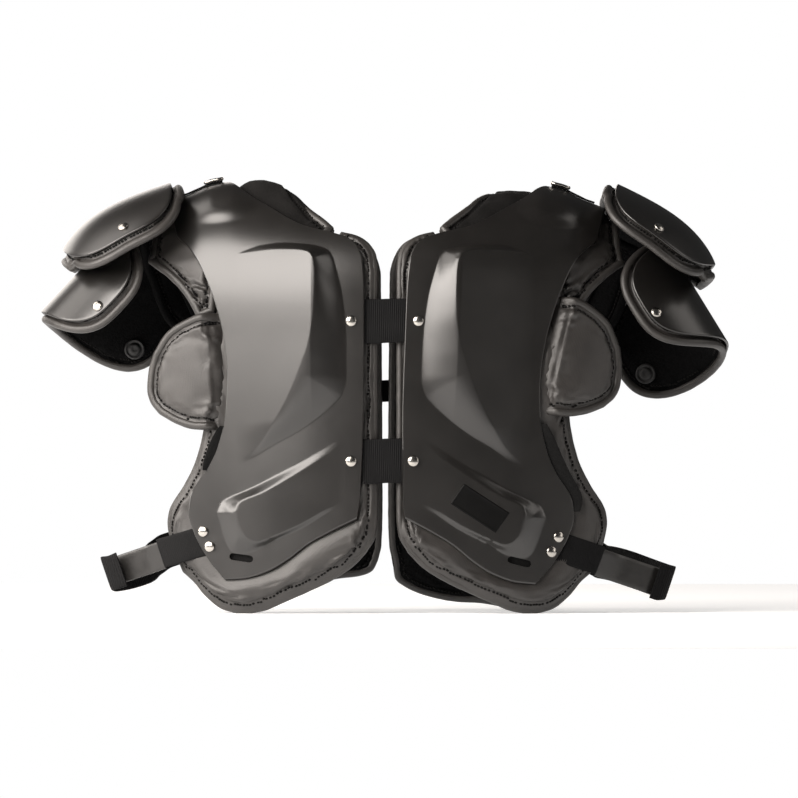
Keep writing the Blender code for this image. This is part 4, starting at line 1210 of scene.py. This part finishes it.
def arm_panel(side):
    """Dark lining below the back of the shoulder, with two elastic bands, seen through the armhole."""
    out = ARM_PANEL_OUT[side]
    foot, head, outer = (
        flat_curve([(s + out * (s > ARM_PANEL_HEAD[0][0]), z) for s, z in line], 1)
        for line in (ARM_PANEL_FOOT, ARM_PANEL_HEAD, ARM_PANEL_OUTER))
    area = patch(foot, head, flat_curve(ARM_PANEL_INNER, 1), outer)
    pad(f"{side}_arm_panel", None, f"{side}_half", arch_surface(side, area), PAD_LIFT - SOFT_TRIM_THICK - GAP,
        ARM_PANEL_THICK, [LINER, LINER], cap=0.0008, pucker=0.0005, rim=0.6, edging=LINER)
    for row, (head_s, foot_s) in enumerate(ARM_BANDS):
        share = np.linspace(0, 1, 6)
        z = ARM_BAND_HEIGHTS[0] + (ARM_BAND_HEIGHTS[1] - ARM_BAND_HEIGHTS[0]) * share
        lift = PAD_LIFT - SOFT_TRIM_THICK - ARM_PANEL_THICK - ARM_BAND_BEHIND
        edges = [on_skin(side, head_s + (foot_s - head_s) * share + offset, path_down_to(z), lift + 0 * z)
                 for offset in (-ARM_BAND_WIDE / 2, ARM_BAND_WIDE / 2)]
        band = ribbon(f"{side}_arm_band_{row + 1}", *edges, WEB_THICK, SIDE_RIBS)
        finish_piece(band, f"{side}_half", "webbing")


def shade_under_slot(side):
    """A black sheet laid under the slot at the foot of the chest plate, as painted shade: it stands in for
    the shadow inside the slot.
    """
    t, w = np.meshgrid(np.linspace(-1, 1, 30) * SLOT_LONG * 0.7, np.linspace(-1, 1, 14) * SLOT_HIGH)
    tilt = -SLOT_TILT[side] * SIDES[side]
    s = SLOT_S + t * math.cos(tilt) - w * math.sin(tilt)
    p = -path_down_to(SLOT_Z + t * math.sin(tilt) + w * math.cos(tilt))
    faces = [on_skin(side, s, p, lift + relief(s, p))
             for lift in (-SHELL_THICK - GAP, -SHELL_THICK - GAP - WEB_THICK)]
    # painted shade: the darkest material, so the slot reads as deep shadow
    obj = closed_sheet(f"{side}_slot_webbing", *faces, [VELOUR, VELOUR])
    finish_piece(obj, f"{side}_half", "webbing")


def velour_strip(side):
    """Narrow strip of hook-and-loop pile on the pad along the shell's outer lower edge."""
    t = np.linspace(0, 1, 110)
    heights = np.linspace(*VELOUR_HEIGHTS[side], len(t)) * MM
    outer = flat_curve(SHELL_OUTER, -1)(np.linspace(0, 1, 400))
    edge = np.interp(-path_down_to(heights), outer[:, 1], outer[:, 0])
    u, _ = np.meshgrid(np.linspace(0, 1, 16), t)
    wide = VELOUR_WIDE[side] * np.sin(np.pi * (0.06 + 0.88 * t)) ** 0.5
    s = edge[:, None] - VELOUR_UNDER + u * wide[:, None]
    p = -path_down_to(heights)[:, None] + 0 * u
    rough = wave_noise(np.stack([s, p, 0 * s], axis=-1).reshape(-1, 3), VELOUR_PILE[1]).reshape(s.shape)
    climb = (VELOUR_LIFTS[1] - VELOUR_LIFTS[0]) * smooth(u, 0.1, 1.0)
    lift = VELOUR_LIFTS[0] + climb + VELOUR_PILE[0] * rough
    obj = closed_sheet(f"{side}_velour_strip", on_skin(side, s, p, lift),
                       on_skin(side, s, p, lift - VELOUR_THICK), [VELOUR, VELOUR])
    finish_piece(obj, f"{side}_half", "pad_fabric")


def rivet(name, body, where):
    """A pressed rivet: a domed head on a thin collar that sits down on the sheet."""
    foot, above = where(0.0), where(0.001)
    profile = [(RIVET_RADIUS * 0.985, 0.0), (RIVET_RADIUS, GAP + RIVET_HIGH * 0.06)]
    profile += [(RIVET_RADIUS * math.cos(a), GAP + RIVET_HIGH * (0.14 + 0.86 * math.sin(a)))
                for a in np.linspace(0.0, 1.45, 9)]
    obj = lathe(f"{name}_turned", profile, foot, unit(above - foot), STEEL)
    finish_piece(obj, body, "rivet_steel", name)


def plate_with_pad(side, kind, us, vs):
    shell = moulded_sheet(f"{side}_{kind}_shell_moulded", plate_surface(side, kind, 0), us, vs)
    shell.data.set_sharp_from_angle(angle=math.radians(50))
    finish_piece(shell, f"{side}_{kind}", "shell_plastic", f"{side}_{kind}_shell")
    pad(f"{side}_{kind}_pad_sewn", f"{side}_{kind}_pad", f"{side}_{kind}",
        plate_surface(side, kind, 1), -SHELL_THICK - GAP, PLATE_PAD_THICK, [NYLON, LINER],
        cap=0.0014, pucker=0.0006, rim=0.45)


def on_plate(side, kind, along, across):
    rest, surface = PLATES[kind][:2]
    return lambda lift: place(side, rest(side, over(surface, along, across, lift)))


def snap(side):
    """A plain press stud on the cap's lining: a flat disc with a raised ring."""
    inside = -SHELL_THICK - GAP - PLATE_PAD_THICK - SNAP_CLEAR
    where = on_plate(side, "cap", *CAP_SNAP)
    foot, deeper = where(inside), where(inside - 0.001)
    profile = [(SNAP_RADIUS * SNAP_FOOT, -SNAP_CLEAR)]
    profile += [(SNAP_RADIUS * x, SNAP_HIGH * z) for x, z in SNAP_SECTION]
    obj = lathe(f"{side}_cap_snap_turned", profile, foot, deeper - foot, RUBBER)
    finish_piece(obj, f"{side}_cap", "hook_plastic", f"{side}_cap_snap")


def ribbon(name, low, high, thick, ribs, material=WEBBING):
    """Flat webbing between two edge curves, with thinner selvedges and ribs across its length."""
    low, high = smooth_curve(low), smooth_curve(high)
    t = np.linspace(0, 1, 200)
    length = line_length((low(t) + high(t)) / 2)
    vs = np.linspace(0, 1, max(8, int(length / RIBBON_STEP)) + 1)
    us = 0.5 - 0.5 * np.cos(np.linspace(0, np.pi, RIBBON_COLUMNS + 1))
    u, v = np.meshgrid(us, vs)
    a, b = low(v), high(v)
    middle = a * (1 - u[..., None]) + b * u[..., None]
    normal = unit(np.cross(np.gradient(middle, axis=0), b - a))
    swell = RIBBON_SELVEDGE + (1 - RIBBON_SELVEDGE) * np.sqrt(np.clip(1 - (2 * u - 1) ** 8, 0, 1))
    half = thick / 2 * swell
    pitch, deep = ribs
    if pitch:
        half = half + deep * np.cos(2 * np.pi * v * length / pitch) * swell
    off = normal * half[..., None]
    return closed_sheet(name, middle + off, middle - off, [material, material])


def strap_line(s):
    return SIDE_STRAP_START[1] - (s - SIDE_STRAP_START[0]) * math.tan(SIDE_STRAP_FALL)


def side_straps(side):
    """Webbing from under the chest plate, its flat hook, and the elastic loop from the back."""
    back_to_half = SIDES[side] * np.array((1, SIDES[side], SIDES[side]))

    def under(s, offset, face=-1, rise=STRAP_RISE):
        out = s + offset * math.sin(SIDE_STRAP_FALL)
        z = strap_line(s) + offset * math.cos(SIDE_STRAP_FALL)
        lift = STRAP_LIFT + rise * smooth(s, *STRAP_RISES_OVER)
        return on_skin(side, out, face * path_down_to(z), lift)

    edge = (under(SIDE_STRAP_RUN[-1], 0.0, rise=0.0) - STAND) * back_to_half
    raised_edge = (under(SIDE_STRAP_RUN[-1], 0.0) - STAND) * back_to_half
    reach = STRAP_REACH[side]

    def free(run, y, offset, shift=0.0, turn=1.0):
        fall = min(run, LOOP_OUTERMOST + reach) * math.tan(SIDE_STRAP_FALL)
        return place(side, np.array((edge[0] + run + offset * math.sin(SIDE_STRAP_FALL),
                                     y + turn * STRAP_TWIST * offset,
                                     edge[2] - fall + shift + offset * math.cos(SIDE_STRAP_FALL))))

    def straight(run, offset):
        forward = (raised_edge[1] - edge[1]) * (1 - smooth(run, 0.0, HOOK_FROM))
        return free(run, edge[1] + forward + run * SIDE_STRAP_SLOPE, offset)

    def front_edge(offset):
        return [under(s, offset) for s in SIDE_STRAP_RUN] + [straight(HOOK_START - GAP, offset)]

    def hook_edge(offset):
        end = HOOK_FROM + reach + HOOK_LONG
        return [straight(HOOK_START + share * (end - HOOK_START), offset) for share in (0, 0.3, 0.6, 1)]

    def loop_edge(offset):
        back, shift = edge[1] + reach * SIDE_STRAP_SLOPE, LOOP_SHIFT[side]
        return ([free(run + reach * share, y + share * (back - edge[1]), offset, drop * shift, turn)
                 for run, y, share, drop, turn in LOOP_RUN]
                + [under(s, offset, 1) for s in reversed(SIDE_STRAP_RUN)])

    for name, curve, wide, thick, ribs, material, slot in (
            ("side_strap", front_edge, SIDE_STRAP_WIDE, WEB_THICK, SIDE_RIBS, WEBBING, "webbing"),
            ("side_hook", hook_edge, HOOK_WIDE, HOOK_THICK, NO_RIBS, HOOK, "hook_plastic"),
            ("side_loop", loop_edge, LOOP_STRAP_WIDE, LOOP_THICK, LOOP_RIBS, WEBBING, "webbing")):
        obj = ribbon(f"{side}_{name}_woven", curve(-wide / 2), curve(wide / 2), thick, ribs, material)
        finish_piece(obj, f"{side}_half", slot, f"{side}_{name}")


def cross_strap(name, height, face, width):
    """A strap from half to half, drawn through points under each half's shell; its free middle spans between
    them.
    """
    def under_shell(side, s, z):
        return on_skin(side, s, face * path_down_to(z), STRAP_LIFT)

    def edge(offset):
        return [under_shell(side, s, height + offset)
                for side, spots in (("left", (CROSS_END, CROSS_MID)), ("right", (CROSS_MID, CROSS_END)))
                for s in spots]

    obj = ribbon(f"{name}_woven", edge(-width / 2), edge(width / 2), WEB_THICK, CROSS_RIBS)
    middle = under_shell("left", 0.0, height)
    start, end = (tuple(middle + np.array((x, 0, 0))) for x in (-CROSS_MID, CROSS_MID))
    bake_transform(obj)
    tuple(start)
    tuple(end)
    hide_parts(name)


def short_strap(side, kind, body, at):
    """A square of ribbed webbing that lies on a plate."""
    t = np.linspace(0, 1, 24)
    u, v = np.meshgrid(t, t)
    ribs = SHORT_RIB_DEEP * np.cos(2 * np.pi * u * SHORT_STRAP_RIBS[kind])
    strap = closed_sheet(f"{side}_{kind}_strap_woven", at(u, v, GAP + WEB_THICK + ribs),
                         at(u, v, GAP + 0 * u), [WEBBING, WEBBING])
    finish_piece(strap, f"{side}_{body}", "webbing", f"{side}_{kind}_strap")


def epaulet_strap(side):
    """The strap over the arch top that the epaulet hangs on, and the metal ring that lies on it."""
    def at(u, v, lift):
        s = EPAULET_STRAP_FROM + u * (EPAULET_STRAP_TO - EPAULET_STRAP_FROM)
        p = SIDE_STRAP_WIDE * (v - 0.5)
        return on_skin(side, s, p, lift + relief(s, p))

    short_strap(side, "epaulet", "half", at)
    half_s, half_p, corner = RING_SIZE[0] / 2, RING_SIZE[1] / 2, RING_CORNER
    spots = []
    for quarter, (x, y) in enumerate(((1, 1), (-1, 1), (-1, -1), (1, -1))):
        for angle in np.linspace(0, math.pi / 2, 7) + quarter * math.pi / 2:
            spots.append((x * (half_s - corner) + corner * math.cos(angle),
                          y * (half_p - corner) + corner * math.sin(angle)))
    loop = np.array(spots + spots[:1])
    gaps = np.append(0.0, np.cumsum(np.linalg.norm(np.diff(loop, axis=0), axis=1)))
    even = np.linspace(0, gaps[-1], 120, endpoint=False)
    s, p = (np.interp(even, gaps, loop[:, k]) for k in (0, 1))
    height = GAP + WEB_THICK + GAP + RING_WIRE / 2 + relief(RING_AT + s, p)
    centres = on_skin(side, RING_AT + s, p, height)
    ups = unit(on_skin(side, RING_AT + s, p, height + 0.001) - centres)
    tangents = unit(np.roll(centres, -1, axis=0) - np.roll(centres, 1, axis=0))
    ring = sweep(f"{side}_epaulet_strap_ring_wire", centres, np.cross(tangents, ups), ups, RING_WIRE,
                 RING_WIRE, STEEL)
    finish_piece(ring, f"{side}_half", "rivet_steel", f"{side}_epaulet_strap_ring")


def cap_strap(side):
    def at(u, v, lift):
        along = CAP_STRAP_LONG * (u - 0.5) + CAP_STRAP_AT
        across = (v - 0.5) * SIDE_STRAP_WIDE - CAP_ROLL * CAP_RADIUS
        return place(side, rest_cap(side, over(cap_surface, along, across, lift)))

    short_strap(side, "cap", "cap", at)


def all_rivets(side):
    spots = [("strap_rivet_upper", (CROSS_RIVET, FRONT_STRAP_HEIGHTS[0]), -1),
             ("strap_rivet_lower", (CROSS_RIVET, FRONT_STRAP_HEIGHTS[1]), -1),
             ("link_rivet", (CROSS_RIVET, REAR_LINK_HEIGHT), 1)]
    for face, end in ((-1, "front"), (1, "back")):
        spots += [(f"side_rivet_{end}_{row}", spot, face)
                  for row, spot in zip(("upper", "lower"), SIDE_RIVETS)]
    for name, (s, z), face in spots:
        rivet(f"{side}_{name}", f"{side}_half",
              lambda h, s=s, z=z, face=face: on_skin(side, s, face * path_down_to(z), h))
    for end, sign in (("front", -1), ("back", 1)):
        for kind, (along, across) in (("epaulet", EPAULET_RIVET), ("cap", CAP_RIVET)):
            rivet(f"{side}_{kind}_rivet_{end}", f"{side}_{kind}", on_plate(side, kind, along, sign * across))


def label(side):
    """A blank black patch with a thin raised border; the lettering is left out."""
    t, w = np.linspace(-0.5, 0.5, 50), np.linspace(-0.5, 0.5, 26)
    a, b = np.meshgrid(t * LABEL_SIZE[0], w * LABEL_SIZE[1])
    s = LABEL_AT[0] + a * math.cos(LABEL_TILT) - b * math.sin(LABEL_TILT)
    z = LABEL_AT[1] + a * math.sin(LABEL_TILT) + b * math.cos(LABEL_TILT)
    p = -path_down_to(z)
    lift = relief(s, p)
    edge = np.minimum(LABEL_SIZE[0] / 2 - np.abs(a), LABEL_SIZE[1] / 2 - np.abs(b))
    border, border_in, border_wide = LABEL_BORDER
    thick = LABEL_THICK + border * hump(edge - border_in, border_wide)
    obj = closed_sheet(f"{side}_blank_label", on_skin(side, s, p, lift + thick),
                       on_skin(side, s, p, lift - LABEL_SUNK), [LABEL, LABEL])
    finish_piece(obj, f"{side}_half", "hook_plastic")


def build_side(side):
    arch_shell(side)
    body_pads(side)
    shoulder_pad(side)
    neck_pad(side)
    wing_pad(side)
    plate_with_pad(side, "epaulet", np.linspace(0, 1, 61), np.linspace(0, 1, 85))
    plate_with_pad(side, "cap", np.linspace(0, 1, 57), np.linspace(0, 1, 101))
    epaulet_strap(side)
    cap_strap(side)
    side_straps(side)
    all_rivets(side)
    snap(side)
    arm_panel(side)
    # a black sheet under the strap slot, as painted shade
    shade_under_slot(side)
    velour_strip(side)


# ---------------------------------------------------------------- studio

def camera():
    data = bpy.data.cameras.new("camera")
    data.sensor_width = SENSOR_WIDE
    data.lens = SENSOR_WIDE * CAMERA_AWAY / FRAME_WIDE
    data.clip_end = 60.0
    obj = bpy.data.objects.new("camera", data)
    bpy.context.scene.collection.objects.link(obj)
    obj.location = (CAMERA_AT[0], FRAME_AT - CAMERA_AWAY, CAMERA_AT[1])
    obj.rotation_euler = (math.radians(90), 0, 0)
    bpy.context.scene.camera = obj


def area_light(name, place_at, target_height, size, power):
    data = bpy.data.lights.new(name, "AREA")
    data.shape = "RECTANGLE"
    data.size, data.size_y = size
    data.energy = power
    data.color = WARM
    obj = bpy.data.objects.new(name, data)
    bpy.context.scene.collection.objects.link(obj)
    obj.location = place_at
    aim = Vector((0, 0, target_height)) - Vector(place_at)
    obj.rotation_euler = aim.to_track_quat("-Z", "Y").to_euler()


def studio():
    """Six lamps, and a world that is white to the camera and faint to everything else."""
    for lamp in LIGHTS:
        area_light(*lamp)
    world = bpy.data.worlds.new("studio")
    bpy.context.scene.world = world
    world.use_nodes = True
    tree = world.node_tree
    background = tree.nodes["Background"]
    background.inputs["Color"].default_value = WHITE
    seen = add_node(tree, "ShaderNodeLightPath")
    strength = add_node(tree, "ShaderNodeMapRange")
    strength.inputs["To Min"].default_value = WORLD_STRENGTH[0]
    strength.inputs["To Max"].default_value = WORLD_STRENGTH[1]
    tree.links.new(seen.outputs["Is Camera Ray"], strength.inputs["Value"])
    tree.links.new(strength.outputs["Result"], background.inputs["Strength"])
    bpy.context.scene.view_settings.view_transform = "Standard"


def floor():
    material, tree, shader = base_material("pale_floor", (0.86, 0.86, 0.86), 0.9)
    vary_colour(tree, shader, noise_node(tree, 3.0), (0.84, 0.84, 0.84), (0.88, 0.88, 0.88))
    shader.inputs["Emission Color"].default_value = WHITE
    shader.inputs["Emission Strength"].default_value = FLOOR_GLOW
    corners = [(x * FLOOR_REACH, y * FLOOR_REACH, 0.0) for x, y in ((-1, -1), (1, -1), (1, 1), (-1, 1))]
    obj = new_object("floor", corners, [(0, 1, 2, 3)], [material])


camera()
studio()
floor()
for half in SIDES:
    build_side(half)
for strap, strap_height in zip(("front_strap_upper", "front_strap_lower"), FRONT_STRAP_HEIGHTS):
    cross_strap(strap, strap_height, -1, FRONT_STRAP_WIDE)
cross_strap("rear_link", REAR_LINK_HEIGHT, 1, REAR_STRAP_WIDE)
label("right")
swell_pads()
for sewn in PADS:
    sew(sewn)
